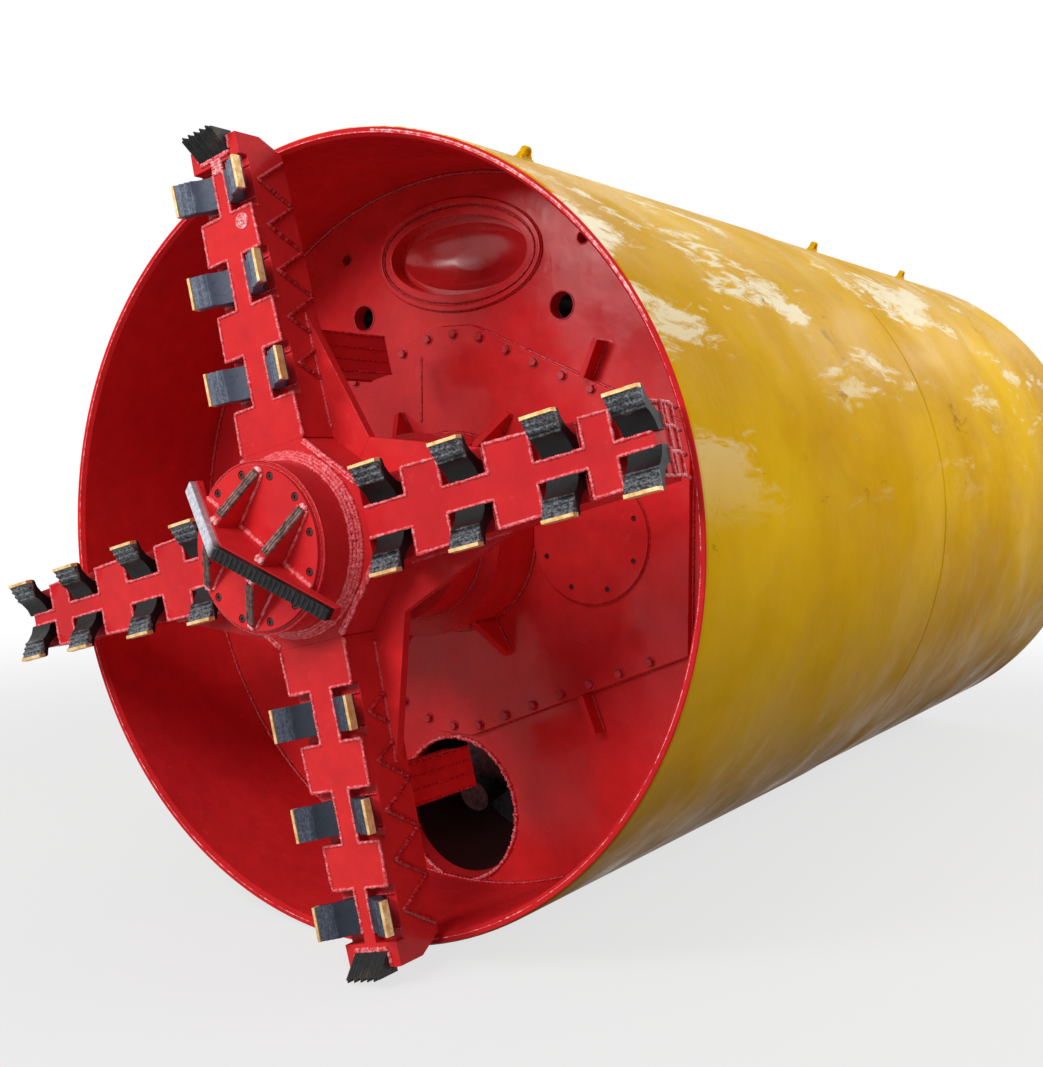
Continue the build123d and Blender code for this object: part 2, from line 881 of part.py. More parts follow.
with BuildPart() as drive_motors:
    for x in (-cover_x, cover_x):
        flange_back = gear_back + motor_flange_plate
        body_back = flange_back + motor_body_length
        disc(facing(flange_back, x=x), motor_flange_radius, motor_flange_plate)
        disc(facing(body_back, x=x), motor_body_radius, motor_body_length)
        disc(facing(body_back + motor_cap_length, x=x), motor_cap_radius, motor_cap_length)
        with BuildSketch(facing(body_back - motor_fin_end, x=x)) as fins:
            with PolarLocations(motor_body_radius, motor_fin_count):
                Rectangle(2 * motor_fin_height, motor_fin_wall)
        extrude(fins.sketch, amount=motor_body_length - 2 * motor_fin_end)
        box_low = motor_body_radius - motor_box_bite
        with BuildSketch(facing(body_back - motor_box_place, x=x)) as box:
            with Locations((0, box_low + motor_box_rise / 2)):
                Rectangle(motor_box_width, motor_box_rise)
        extrude(box.sketch, amount=motor_box_length)
finish(drive_motors, "drive_motors")

with BuildPart() as screw_casing:
    disc(screw_section(-screw_bore), casing_radius, screw_bore + screw_length)
    chute_center = screw_center + screw_dir * chute_place
    with BuildSketch(Plane(origin=chute_center, x_dir=(1, 0, 0), z_dir=(0, 0, -1))) as chute:
        Rectangle(chute_width, chute_length)
    extrude(chute.sketch, amount=casing_radius + chute_drop)
    with BuildSketch(Plane(origin=chute_center, x_dir=(1, 0, 0), z_dir=(0, 0, -1))) as throat:
        Rectangle(chute_width - 2 * chute_wall, chute_length - 2 * chute_wall)
    extrude(throat.sketch, amount=casing_radius + chute_drop, mode=Mode.SUBTRACT)
    disc(screw_section(-screw_bore), screw_bore, screw_bore + screw_length, mode=Mode.SUBTRACT)
    with BuildSketch(facing(bulkhead_back)) as front_cut:
        Rectangle(4 * shield_radius, 4 * shield_radius)
    extrude(front_cut.sketch, amount=2 * shield_radius, mode=Mode.SUBTRACT)
    gate_top = chute_center.Z - casing_radius - chute_drop
    gate_low = gate_top - gate_gap * 2 - gate_plate
    rail_length = chute_width + gate_travel
    for side in (-1, 1):
        with BuildSketch(Plane.XY.offset(gate_low - gate_plate)) as rail:
            with Locations((gate_travel / 2, chute_center.Y + side * (chute_length / 2 + gate_guide / 2))):
                Rectangle(rail_length, gate_guide)
        extrude(rail.sketch, amount=gate_top - gate_low + gate_plate + gate_rail_rise)
        with BuildSketch(Plane.XY.offset(gate_low - gate_plate)) as lip:
            with Locations((gate_travel / 2, chute_center.Y + side * (chute_length / 2 - gate_guide / 4))):
                Rectangle(rail_length, gate_guide / 2)
        extrude(lip.sketch, amount=gate_plate)
finish(screw_casing, "screw_casing")

with BuildPart() as discharge_gate:
    with BuildSketch(Plane.XY.offset(gate_low)) as plate:
        with Locations((0, chute_center.Y)):
            Rectangle(chute_width, chute_length - 2 * gate_gap)
    extrude(plate.sketch, amount=gate_plate + gate_gap)
    with BuildSketch(Plane.XY.offset(gate_low)) as bar:
        with Locations(((chute_width + gate_bar) / 2, chute_center.Y)):
            Rectangle(gate_bar, chute_length / 2)
    extrude(bar.sketch, amount=gate_plate + gate_gap)
finish(discharge_gate, "discharge_gate")

with BuildPart() as screw_drive:
    disc(screw_section(screw_length), screw_drive_radius, screw_drive_length)
    with BuildSketch(screw_section(screw_length)) as bearing:
        Circle(screw_shaft_radius + shaft_clearance)
    extrude(bearing.sketch, amount=screw_drive_length / 2, mode=Mode.SUBTRACT)
    drive_end = screw_length + screw_drive_length
    disc(screw_section(drive_end), screw_stage_radius, screw_stage_length)
    disc(screw_section(drive_end), screw_motor_radius, screw_motor_length)
finish(screw_drive, "screw_drive")

screw_tip = bulkhead_plate + screw_setback

with BuildPart() as screw_shaft:
    disc(
        screw_section(screw_tip),
        screw_shaft_radius,
        screw_length + screw_drive_length / 2 - screw_end_gap - screw_tip,
    )
finish(screw_shaft, "screw_shaft")

with BuildPart() as screw_flight:
    flight_start = screw_section(screw_tip + flight_wall)
    with BuildLine():
        helix = Helix(
            pitch=flight_pitch,
            height=flight_pitch * flight_turns,
            radius=screw_shaft_radius,
            center=flight_start.origin,
            direction=screw_dir,
        )
    blade_out = (helix @ 0 - flight_start.origin).normalized()
    blade_plane = Plane(origin=helix @ 0, x_dir=blade_out, z_dir=screw_dir.cross(blade_out))
    with BuildSketch(blade_plane):
        with Locations(((flight_radius - screw_shaft_radius) / 2, 0)):
            Rectangle(flight_radius - screw_shaft_radius, flight_wall)
    sweep(path=helix, is_frenet=True)
finish(screw_flight, "screw_flight")

# Steering: a ring hung between the shields on four pins, and four cylinders

FRONT_PIN_TURNS = (cylinder_turn, cylinder_turn + 180)
REAR_PIN_TURNS = (cylinder_turn + 90, cylinder_turn + 270)
CYLINDER_TURNS = FRONT_PIN_TURNS + REAR_PIN_TURNS


def radial(turn, station, radius):
    """A plane whose Z runs out along a radius from the axis and whose X runs rearwards."""
    out = (cos(radians(turn)), 0, sin(radians(turn)))
    return Plane(
        origin=(radius * out[0], RIM_Y + station, AXIS_Z + radius * out[2]),
        x_dir=(0, 1, 0),
        z_dir=out,
    )


with BuildPart() as joint_ring:
    turned([
        (ring_front, ring_bore),
        (ring_front, ring_radius),
        (ring_back, ring_radius),
        (ring_back, ring_bore),
    ])
    for turn in CYLINDER_TURNS:
        pin_hole = radial(turn, pivot_y, ring_bore - ring_wall)
        disc(pin_hole, pin_radius + pin_gap, 3 * ring_wall, mode=Mode.SUBTRACT)
finish(joint_ring, "joint_ring")


def pin_arm(turn, foot_station, foot_length, bore):
    """An arm that reaches under the joint ring from a foot on the shell, with a pin through the ring."""
    reach = pin_arm_end if foot_station < pivot_y else -pin_arm_end
    far = foot_station if foot_station < pivot_y else foot_station + foot_length
    prism(
        side_on(turn),
        [
            (arm_inner, -far),
            (arm_outer, -far),
            (arm_outer, -pivot_y - reach),
            (arm_inner, -pivot_y - reach),
        ],
        pin_arm_width / 2,
        both=True,
    )
    with BuildSketch(radial(turn, foot_station + foot_length / 2, arm_inner)) as foot:
        Rectangle(foot_length, pin_arm_width)
    extrude(foot.sketch, amount=bore - arm_inner + pin_arm_wall)
    pin_root = arm_outer - pin_bite
    disc(radial(turn, pivot_y, pin_root), pin_radius, ring_radius + pin_proud - pin_root)


def trim_to_bore(bore):
    """Cuts away what reaches past a shell's bore."""
    turned(
        [
            (0, bore),
            (shield_length, bore),
            (shield_length, bore + shield_radius),
            (0, bore + shield_radius),
        ],
        mode=Mode.SUBTRACT,
    )


saddle_station = pivot_y - rod_reach - barrel_saddle_place

with BuildPart() as front_brackets:
    for turn in FRONT_PIN_TURNS:
        pin_arm(turn, pin_foot, pin_foot_length, shell_bore)
    for turn in CYLINDER_TURNS:
        with BuildSketch(facing(saddle_station, turn)) as saddle:
            with Locations((cylinder_place + shell_bore / 4, 0)):
                Rectangle(shell_bore / 2, barrel_saddle_width)
        extrude(saddle.sketch, amount=barrel_saddle_wall)
    for turn in CYLINDER_TURNS:
        with BuildSketch(facing(saddle_station, turn)) as seat:
            with Locations((cylinder_place, 0)):
                Circle(barrel_radius)
        extrude(seat.sketch, amount=barrel_saddle_wall, mode=Mode.SUBTRACT)
    trim_to_bore(shell_bore)
finish(front_brackets, "front_brackets")

barrel_end = pivot_y - rod_reach
rod_start = barrel_end - rod_inside
rod_end = pivot_y - rod_eye_radius + rod_eye_weld

with BuildPart() as steering_barrels:
    for turn in CYLINDER_TURNS:
        with BuildSketch(facing(barrel_end, turn)) as barrel:
            with Locations((cylinder_place, 0)):
                Circle(barrel_radius)
        extrude(barrel.sketch, amount=barrel_length)
        with BuildSketch(facing(barrel_end, turn)) as rod_bore:
            with Locations((cylinder_place, 0)):
                Circle(rod_radius + barrel_clearance)
        extrude(rod_bore.sketch, amount=rod_inside + barrel_room, mode=Mode.SUBTRACT)
finish(steering_barrels, "steering_barrels")

for number, turn in enumerate(CYLINDER_TURNS, start=1):
    with BuildPart() as steering_rod:
        with BuildSketch(facing(rod_end, turn)) as rod:
            with Locations((cylinder_place, 0)):
                Circle(rod_radius)
        extrude(rod.sketch, amount=rod_end - rod_start)
        with BuildSketch(side_on(turn)) as eye:
            with Locations((cylinder_place, -pivot_y)):
                Circle(rod_eye_radius)
        extrude(eye.sketch, amount=rod_eye_wall / 2, both=True)
        with BuildSketch(side_on(turn)) as eye_bore:
            with Locations((cylinder_place, -pivot_y)):
                Circle(clevis_pin_radius + rod_eye_play)
        extrude(eye_bore.sketch, amount=rod_eye_wall / 2, both=True, mode=Mode.SUBTRACT)
    finish(steering_rod, f"steering_rod_{number}")

# Rear shield

with BuildPart() as rear_shell:
    turned([
        (rear_start, rear_bore),
        (rear_start, rear_radius - rear_rim_chamfer),
        (rear_start + rear_rim_bevel, rear_radius),
        (shield_length, rear_radius),
        (shield_length, rear_bore + tail_rebate),
        (tail_start, rear_bore + tail_rebate),
        (tail_start, rear_bore),
    ])
finish(rear_shell, "rear_shell")

ring_ribs("rear_ribs", REAR_RIB_PLACES, rear_bore, rib_wall)

clevis_foot = pivot_y + clevis_foot_place
ear_offset = rod_eye_wall / 2 + clevis_gap

with BuildPart() as rear_pin_arms:
    for turn in REAR_PIN_TURNS:
        pin_arm(turn, clevis_foot, clevis_foot_length, rear_bore)
    trim_to_bore(rear_bore)
finish(rear_pin_arms, "rear_pin_arms")

with BuildPart() as clevises:
    for turn in CYLINDER_TURNS:
        for side in (-1, 1):
            with BuildSketch(side_on(turn, side * (ear_offset + clevis_wall / 2))) as ear:
                with BuildLine():
                    Polyline(
                        (cylinder_place - clevis_half, -pivot_y),
                        (cylinder_place - clevis_half, -clevis_foot),
                        (cylinder_place + clevis_half, -clevis_foot),
                        (cylinder_place + clevis_half, -pivot_y),
                        close=True,
                    )
                make_face()
                with Locations((cylinder_place, -pivot_y)):
                    Circle(clevis_half)
            extrude(ear.sketch, amount=clevis_wall / 2, both=True)
finish(clevises, "clevises")

with BuildPart() as clevis_pins:
    for turn in CYLINDER_TURNS:
        with BuildSketch(side_on(turn)) as pin:
            with Locations((cylinder_place, -pivot_y)):
                Circle(clevis_pin_radius)
        extrude(pin.sketch, amount=ear_offset, both=True)
finish(clevis_pins, "clevis_pins")

with BuildPart() as clevis_posts:
    for turn in CYLINDER_TURNS:
        seat = arm_inner if turn in REAR_PIN_TURNS else shield_radius
        post_root = cylinder_place - clevis_half
        with BuildSketch(radial(turn, clevis_foot + clevis_foot_length / 2, post_root)) as post:
            Rectangle(clevis_foot_length, 2 * (ear_offset + clevis_wall))
        extrude(post.sketch, amount=seat - post_root)
    trim_to_bore(rear_bore)
finish(clevis_posts, "clevis_posts")

deck_start = REAR_RIB_PLACES[0] + rib_wall
deck_end = REAR_RIB_PLACES[1]

with BuildPart() as rear_deck:
    with BuildSketch(Plane.XY.offset(AXIS_Z + deck_low)) as plate:
        with Locations((0, RIM_Y + (deck_start + deck_end) / 2)):
            Rectangle(2 * deck_half, deck_end - deck_start)
    extrude(plate.sketch, amount=deck_plate)
    with BuildSketch(Plane.XY.offset(AXIS_Z + deck_low)) as beams:
        with Locations(
            (-deck_beam_x, RIM_Y + (deck_start + deck_end) / 2),
            (deck_beam_x, RIM_Y + (deck_start + deck_end) / 2),
        ):
            Rectangle(deck_beam_wall, deck_end - deck_start)
    extrude(beams.sketch, amount=-deck_beam_drop)
finish(rear_deck, "rear_deck")


def cabinet(side, height, wall):
    """Draws a sheet metal box on one side of the rear deck, with its upright edges eased."""
    with BuildSketch(Plane.XY.offset(AXIS_Z + deck_z)) as base:
        with Locations((side * cabinet_x, cabinet_middle)):
            Rectangle(cabinet_width, cabinet_length)
        chamfer(base.vertices(), cabinet_chamfer)
    extrude(base.sketch, amount=height)
    with BuildSketch(Plane.XY.offset(AXIS_Z + deck_z)) as hollow:
        with Locations((side * cabinet_x, cabinet_middle)):
            Rectangle(cabinet_width - 2 * wall, cabinet_length - 2 * wall)
        chamfer(hollow.vertices(), cabinet_chamfer)
    extrude(hollow.sketch, amount=height - wall, mode=Mode.SUBTRACT)


def aisle_face(side, height):
    """The upright plane of a box's face that looks at the aisle."""
    return Plane(
        origin=(side * (cabinet_x - cabinet_width / 2), cabinet_middle, AXIS_Z + deck_z + height / 2),
        x_dir=(0, 1, 0),
        z_dir=(-side, 0, 0),
    )


cabinet_middle = RIM_Y + cabinet_start + cabinet_length / 2
leaf_width = (cabinet_length - 2 * leaf_margin - leaf_gap) / 2
latch_place = leaf_gap / 2 + latch_inset

with BuildPart() as control_cabinet:
    cabinet(1, cabinet_height, cabinet_wall)
    with BuildSketch(aisle_face(1, cabinet_height)) as leaves:
        with GridLocations(leaf_width + leaf_gap, 0, 2, 1):
            Rectangle(leaf_width, cabinet_height - 2 * leaf_margin)
    extrude(leaves.sketch, amount=leaf_plate)
    with BuildSketch(aisle_face(1, cabinet_height)) as latches:
        with Locations((-latch_place, 0), (latch_place, 0)):
            Rectangle(latch_width, latch_height)
    extrude(latches.sketch, amount=leaf_plate + latch_rise)
finish(control_cabinet, "control_cabinet")

with BuildPart() as hydraulic_tank:
    cabinet(-1, tank_height, tank_wall)
    with BuildSketch(Plane.XY.offset(AXIS_Z + deck_z + tank_height)) as filler:
        with Locations((-cabinet_x, cabinet_middle - filler_place)):
            Circle(filler_radius)
    extrude(filler.sketch, amount=filler_rise)
    with BuildSketch(Plane.XY.offset(AXIS_Z + deck_z + tank_height)) as filter_head:
        with Locations((-cabinet_x, cabinet_middle)):
            Circle(filter_radius)
    extrude(filter_head.sketch, amount=filter_rise)
    disc(aisle_face(-1, tank_height), hatch_radius, hatch_plate)
finish(hydraulic_tank, "hydraulic_tank")


def lifting_pads(name, places, radius):
    """Pad-eyes on top of a shell, standing along the machine's axis either side of the top."""
    with BuildPart() as pads:
        for place in places:
            for turn in (90 - pad_turn, 90 + pad_turn):
                with BuildSketch(side_on(turn)) as pad:
                    with BuildLine():
                        Polyline(
                            (radius, -place - pad_length / 2),
                            (radius, -place + pad_length / 2),
                            (radius + pad_height / 2, -place + pad_height / 2),
                            (radius + pad_height / 2, -place - pad_height / 2),
                            close=True,
                        )
                    make_face()
                    with Locations((radius + pad_height / 2, -place)):
                        Circle(pad_height / 2)
                        Circle(pad_hole, mode=Mode.SUBTRACT)
                extrude(pad.sketch, amount=pad_plate / 2, both=True)
    finish(pads, name)


lifting_pads("front_pads", FRONT_PAD_PLACES, shield_radius)
lifting_pads("rear_pads", REAR_PAD_PLACES, rear_radius)
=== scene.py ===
import json
import bpy
from math import ceil, cos, pi, radians, sin, sqrt
from mathutils import Matrix, Vector, noise


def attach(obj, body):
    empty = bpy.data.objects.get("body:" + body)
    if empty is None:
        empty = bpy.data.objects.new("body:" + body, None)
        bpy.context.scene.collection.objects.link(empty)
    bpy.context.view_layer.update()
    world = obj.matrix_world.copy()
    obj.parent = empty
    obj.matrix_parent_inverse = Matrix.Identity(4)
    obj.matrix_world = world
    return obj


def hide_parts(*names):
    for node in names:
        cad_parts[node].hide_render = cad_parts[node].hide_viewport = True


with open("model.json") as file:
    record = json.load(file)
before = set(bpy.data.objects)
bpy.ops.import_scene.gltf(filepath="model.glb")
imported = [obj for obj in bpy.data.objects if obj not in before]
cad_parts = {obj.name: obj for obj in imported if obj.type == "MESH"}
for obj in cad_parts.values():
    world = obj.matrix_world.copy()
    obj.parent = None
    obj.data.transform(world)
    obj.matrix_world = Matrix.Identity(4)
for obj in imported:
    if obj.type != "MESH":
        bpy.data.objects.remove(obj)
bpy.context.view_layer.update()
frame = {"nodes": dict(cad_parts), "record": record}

# The rim and the axis in metres, as the CAD model has them

RIM_Y = -2.0075
AXIS_Z = 1.25

# Places and sizes on the shield in millimetres, from the axis and from the rim, and turns in degrees

SHIELD_RADIUS = 1250.0
SHELL_BORE = 1220.0
REAR_RADIUS = 1245.0
REAR_BORE = 1215.0
HEAD_TURN = 14.5
UPPER_TURN = HEAD_TURN + 90
LOWER_TURN = HEAD_TURN + 270
SPOKE_FRONT = 212.0
SPOKE_BACK = 25.0
SPOKE_ROOT = 128.0
SPOKE_TIP = 98.0
GUSSET_START = 320.0
GUSSET_END = 690.0
HUB_FLAT = 296.0
FLAT_HALF = 118.0
LEVEL_PAIRS = (378.0, 664.0, 968.3, 1216.0)
LEVEL_END = 1248.0
UPRIGHT_PAIRS = (512.3, 807.8, 1096.0)
UPRIGHT_END = 1150.0
POCKET_HALF = 80.0
POCKET_DEPTH = 81.0
FISHTAIL_TURN = HEAD_TURN - 45.0
BULKHEAD = 612.0
PANEL = 586.0
MANHOLE_Z = 942.0
PORT_X = 419.0
PORT_Z = 749.0
SMALL_PORT_X = 498.0
SMALL_PORT_Z = 960.0
PANEL_CREST = 700.0
PANEL_SLOPE = 0.42
PANEL_FLAT = 75.0
PANEL_HALF = 900
PANEL_EDGE = PANEL + 24
COVER_X = 551.0
SCREW_Z = -969.0
SCREW_SLOPE = radians(15)
CASING_BORE = 245.0
GEAR_BACK = 1062.0


def at(x, station, z):
    return Vector((x / 1000, RIM_Y + station / 1000, AXIS_Z + z / 1000))


def polar(turn, radius, station):
    return at(radius * cos(radians(turn)), station, radius * sin(radians(turn)))


def on_spoke(turn, reach, side, height):
    """A point on a spoke: out along it, across it and forward of the rim."""
    a = radians(turn)
    return at(reach * cos(a) - side * sin(a), -height, reach * sin(a) + side * cos(a))


def spoke_half(reach):
    return SPOKE_ROOT + (SPOKE_TIP - SPOKE_ROOT) * (reach - HUB_FLAT) / (SHIELD_RADIUS - HUB_FLAT)


def panel_edge(x):
    return PANEL_CREST - PANEL_SLOPE * max(abs(x) - PANEL_FLAT, 0)


# Materials

def linear(red, green, blue):
    """A colour as it looks on screen, 0 to 255, as the shader's own numbers."""
    parts = [value / 255 for value in (red, green, blue)]
    parts = [p / 12.92 if p <= 0.04045 else ((p + 0.055) / 1.055) ** 2.4 for p in parts]
    return (*parts, 1.0)


class Finish:
    """A procedural material, built up node by node."""

    def __init__(self, name, metallic=0.0, specular=0.5):
        self.material = bpy.data.materials.new(name)
        self.material.use_nodes = True
        self.nodes = self.material.node_tree.nodes
        self.links = self.material.node_tree.links
        self.shader = self.nodes["Principled BSDF"]
        self.shader.inputs["Metallic"].default_value = metallic
        self.shader.inputs["Specular IOR Level"].default_value = specular
        self.place = self.nodes.new("ShaderNodeTexCoord").outputs["Object"]

    def feed(self, socket, value):
        """Links a socket, or sets a number or a colour, which is given as it looks on screen."""
        if isinstance(value, bpy.types.NodeSocket):
            self.links.new(value, socket)
        else:
            socket.default_value = linear(*value) if isinstance(value, tuple) else value

    def add(self, kind, **inputs):
        made = self.nodes.new(kind)
        for name, value in inputs.items():
            self.feed(made.inputs[name.replace("_", " ")], value)
        return made

    def noise(self, scale, detail=3.0, roughness=0.5, distortion=0.0, stretch=None):
        place = self.place
        if stretch:
            mapping = self.add("ShaderNodeMapping", Vector=place)
            mapping.inputs["Scale"].default_value = stretch
            place = mapping.outputs[0]
        made = self.add("ShaderNodeTexNoise", Vector=place, Scale=scale, Detail=detail,
                        Roughness=roughness, Distortion=distortion)
        return made.outputs[0]

    def band(self, source, low, high, start=0.0, end=1.0):
        """Maps the source from low to high onto start to end."""
        ends = {"From_Min": low, "From_Max": high, "To_Min": start, "To_Max": end}
        return self.add("ShaderNodeMapRange", Value=source, **ends).outputs["Result"]

    def spots(self, low, high, *pattern):
        """A mask that turns from 0 to 1 between two levels of a noise."""
        return self.band(self.noise(*pattern), low, high)

    def math(self, operation, first, second=0.0):
        made = self.nodes.new("ShaderNodeMath")
        made.operation = operation
        self.feed(made.inputs[0], first)
        self.feed(made.inputs[1], second)
        return made.outputs[0]

    def plus(self, first, second):
        return self.math("ADD", first, second)

    def times(self, first, second):
        return self.math("MULTIPLY", first, second)

    def length(self, first, second):
        """How far a point lies from the corner that two distances are measured from."""
        return self.math("SQRT", self.plus(self.times(first, first), self.times(second, second)))

    def blend(self, factor, first, second):
        made = self.nodes.new("ShaderNodeMix")
        made.data_type = "RGBA"
        self.feed(made.inputs[0], factor)
        self.feed(made.inputs[6], first)
        self.feed(made.inputs[7], second)
        return made.outputs[2]

    def cover(self, base, mask, strength, color):
        """Lays a colour over the base where the mask shows, as strong as told."""
        return self.blend(self.times(mask, strength), base, color)

    def split(self):
        return self.add("ShaderNodeSeparateXYZ", Vector=self.place).outputs

    def bump(self, *layers):
        """Bump from (height, strength, distance) layers, each over the one before.

        A height is a mask or a noise's (scale, detail).
        """
        normal = None
        for height, strength, distance in layers:
            if isinstance(height, tuple):
                height = self.noise(*height)
            made = self.add("ShaderNodeBump", Strength=strength, Distance=distance, Height=height)
            if normal:
                self.links.new(normal, made.inputs["Normal"])
            normal = made.outputs[0]
        self.links.new(normal, self.shader.inputs["Normal"])

    def paint(self, color, roughness):
        self.feed(self.shader.inputs["Base Color"], color)
        self.feed(self.shader.inputs["Roughness"], roughness)


def red_coat(finish):
    """The red gloss paint's colour, with drifts, rubbed patches and dust."""
    drift = finish.spots(0.35, 0.65, 1.7, 4)
    mottle = finish.spots(0.35, 0.7, 14, 5, 0.6)
    dust = finish.spots(0.60, 0.74, 38, 5, 0.65)
    base = finish.blend(drift, (202, 36, 42), (222, 44, 46))
    base = finish.cover(base, mottle, 0.35, (168, 30, 36))
    return finish.cover(base, dust, 0.22, (228, 92, 92))


def red_paint(name, specular):
    finish = Finish(name, specular=specular)
    gloss = finish.band(finish.noise(5, 5, 0.6), 0.35, 0.7, 0.12, 0.36)
    finish.paint(red_coat(finish), gloss)
    finish.bump(((6, 4), 0.10, 0.02), ((240, 2), 0.10, 0.0006))
    return finish.material


def yellow_coat(finish):
    """The shields' yellow paint: clouded patches and rust, cream patches above that are partly scuffs and
    partly painted highlight, and darker brown towards the bottom as painted shade.
    """
    x, y, z = finish.split()
    drift = finish.spots(0.35, 0.65, 0.9, 4, 0.6)
    base = finish.blend(drift, (212, 157, 6), (238, 188, 22))
    clouds = finish.spots(0.50, 0.72, 2.4, 5, 0.66, 0.8, (1.0, 0.45, 1.0))
    base = finish.cover(base, clouds, 0.38, (184, 126, 8))
    # Darker brown towards the bottom: painted shade
    low = finish.band(finish.plus(z, finish.band(clouds, 0, 1, -0.15, 0.15)), 1.25, 0.15)
    base = finish.cover(base, low, 0.86, (108, 64, 6))
    patch = finish.noise(3.0, 4, 0.6, 0.5, (1.0, 0.42, 1.3))
    frayed = finish.noise(14, 6, 0.74, 1.2, (1.0, 0.3, 1.0))
    mixed = finish.plus(finish.times(patch, 0.62), finish.times(frayed, 0.38))
    # Cream patches: partly scuffs, partly painted highlight for the sky's reflection, with painted glare
    # along the rim
    rim_glare = finish.times(finish.band(y, RIM_Y + 0.5, RIM_Y + 0.05), 0.06)
    scuffs_and_highlight = finish.band(finish.plus(mixed, rim_glare), 0.555, 0.61)
    # Only on the upper part, where the painted highlight falls
    scuffs_and_highlight = finish.times(scuffs_and_highlight, finish.band(z, 1.3, 2.0))
    base = finish.cover(base, scuffs_and_highlight, 0.8, (255, 246, 214))
    rust = finish.spots(0.635, 0.70, 5.5, 7, 0.74, 0.6, (1.0, 0.6, 1.0))
    return finish.cover(base, rust, 0.62, (128, 84, 18))


def finish_yellow(finish, color):
    """The yellow paint's gloss and its gentle dents, under the colour given."""
    finish.paint(color, finish.band(finish.noise(2.6, 5, 0.62), 0.36, 0.66, 0.18, 0.5))
    finish.bump(((2.6, 4), 0.5, 0.03), ((200, 2), 0.08, 0.0006))
    return finish.material


def yellow_paint():
    finish = Finish("yellow_paint", specular=0.006)
    return finish_yellow(finish, yellow_coat(finish))


# Where the shells' yellow ends: at the rim, in metres back from it, and in metres outside the bore
RIM_LINE = (0.003, 0.005)
BORE_LINE = (0.021, 0.0225)
# The chamber's red ends in the bulkhead's thickness
CHAMBER_END = (0.66, 0.664)
PALE_INSIDE = (196, 198, 192)


def shell_paint(name, bore, inside_red):
    """Yellow outside, and red or pale inside the bore, with a soft painted line between them."""
    finish = Finish(name, specular=0.006)
    place_y = finish.split()[1]
    inside = PALE_INSIDE
    if inside_red:
        behind = finish.band(place_y, RIM_Y + CHAMBER_END[0], RIM_Y + CHAMBER_END[1])
        inside = finish.blend(behind, red_coat(finish), PALE_INSIDE)
    spread = finish.band(finish.noise(30, 4), 0.3, 0.7, -0.0012, 0.0012)
    x, y, z = finish.split()
    edge = finish.plus(finish.length(x, finish.plus(z, -AXIS_Z)), spread)
    side = finish.band(edge, bore / 1000 + BORE_LINE[0], bore / 1000 + BORE_LINE[1])
    if inside_red:
        side = finish.times(side, finish.band(place_y, RIM_Y + RIM_LINE[0], RIM_Y + RIM_LINE[1]))
    return finish_yellow(finish, finish.blend(side, inside, yellow_coat(finish)))


def weld_paint(name, low, high, gloss=0.22):
    """A painted weld: pale specks on the bead, partly dust and partly painted highlight where the crests
    would catch light.
    """
    finish = Finish(name, specular=0.35)
    dust_and_glint = finish.spots(0.45, 0.62, 90, 5, 0.7)
    finish.paint(finish.blend(dust_and_glint, low, high), finish.band(dust_and_glint, 0, 1, gloss, gloss + 0.2))
    finish.bump(((320, 4), 0.5, 0.0015))
    return finish.material


def tool_steel(name, face, ridge, pale):
    """The scrapers' bodies: coated steel, ridged and rubbed pale along the cut, near black lower down
    towards the root as painted shade.
    """
    finish = Finish(name, specular=0.22)
    rise = finish.math("SUBTRACT", RIM_Y - SPOKE_FRONT / 1000, finish.split()[1])
    blotch = finish.spots(0.36, 0.68, 24, 6, 0.65)
    rubbed = finish.spots(0.42, 0.62, 130, 5, 0.7)
    frayed = finish.plus(rise, finish.band(blotch, 0, 1, -0.005, 0.005))
    soot = finish.spots(0.55, 0.7, 45, 4, 0.6)
    upper = finish.cover(ridge, rubbed, 0.75, pale)
    # Near-black lower part: painted shade
    base = finish.blend(finish.band(frayed, 0.040, 0.048), face, upper)
    base = finish.cover(base, soot, 0.35, (14, 14, 16))
    finish.paint(base, finish.band(blotch, 0, 1, 0.5, 0.3))
    finish.bump(((60, 5), 0.4, 0.003), ((260, 4), 0.4, 0.001))
    return finish.material


def carbide():
    """Carbide strips with their brazing: tan gold with grey and burnt spots."""
    finish = Finish("carbide", metallic=0.35)
    patch = finish.spots(0.38, 0.66, 40, 5, 0.6)
    burnt = finish.spots(0.60, 0.72, 85, 5, 0.7)
    base = finish.blend(patch, (206, 156, 88), (248, 218, 160))
    base = finish.cover(base, burnt, 0.7, (104, 78, 52))
    finish.paint(base, finish.band(patch, 0, 1, 0.5, 0.32))
    finish.bump(((180, 4), 0.4, 0.001))
    return finish.material


def steel(name, dark, light, rough_low, rough_high, metallic=0.9):
    finish = Finish(name, metallic=metallic)
    streak = finish.spots(0.35, 0.65, 60, 5, 0.6)
    stain = finish.spots(0.55, 0.72, 9, 5, 0.65)
    base = finish.cover(finish.blend(streak, dark, light), stain, 0.4, (92, 76, 60))
    finish.paint(base, finish.band(streak, 0, 1, rough_high, rough_low))
    finish.bump(((180, 4), 0.25, 0.001))
    return finish.material


def satin_paint(name, low, high, chip):
    """Workshop paint on plant: a satin coat with smudges and small chips."""
    finish = Finish(name, specular=0.45)
    drift = finish.spots(0.35, 0.65, 3, 5, 0.6)
    smudge = finish.spots(0.54, 0.74, 12, 6, 0.7, 0.4)
    chips = finish.spots(0.715, 0.73, 70, 5, 0.7)
    base = finish.cover(finish.blend(drift, low, high), smudge, 0.3, (70, 66, 60))
    finish.paint(finish.blend(chips, base, chip), finish.band(smudge, 0, 1, 0.42, 0.6))
    finish.bump(((160, 2), 0.08, 0.0006), (chips, 0.3, 0.0004))
    return finish.material


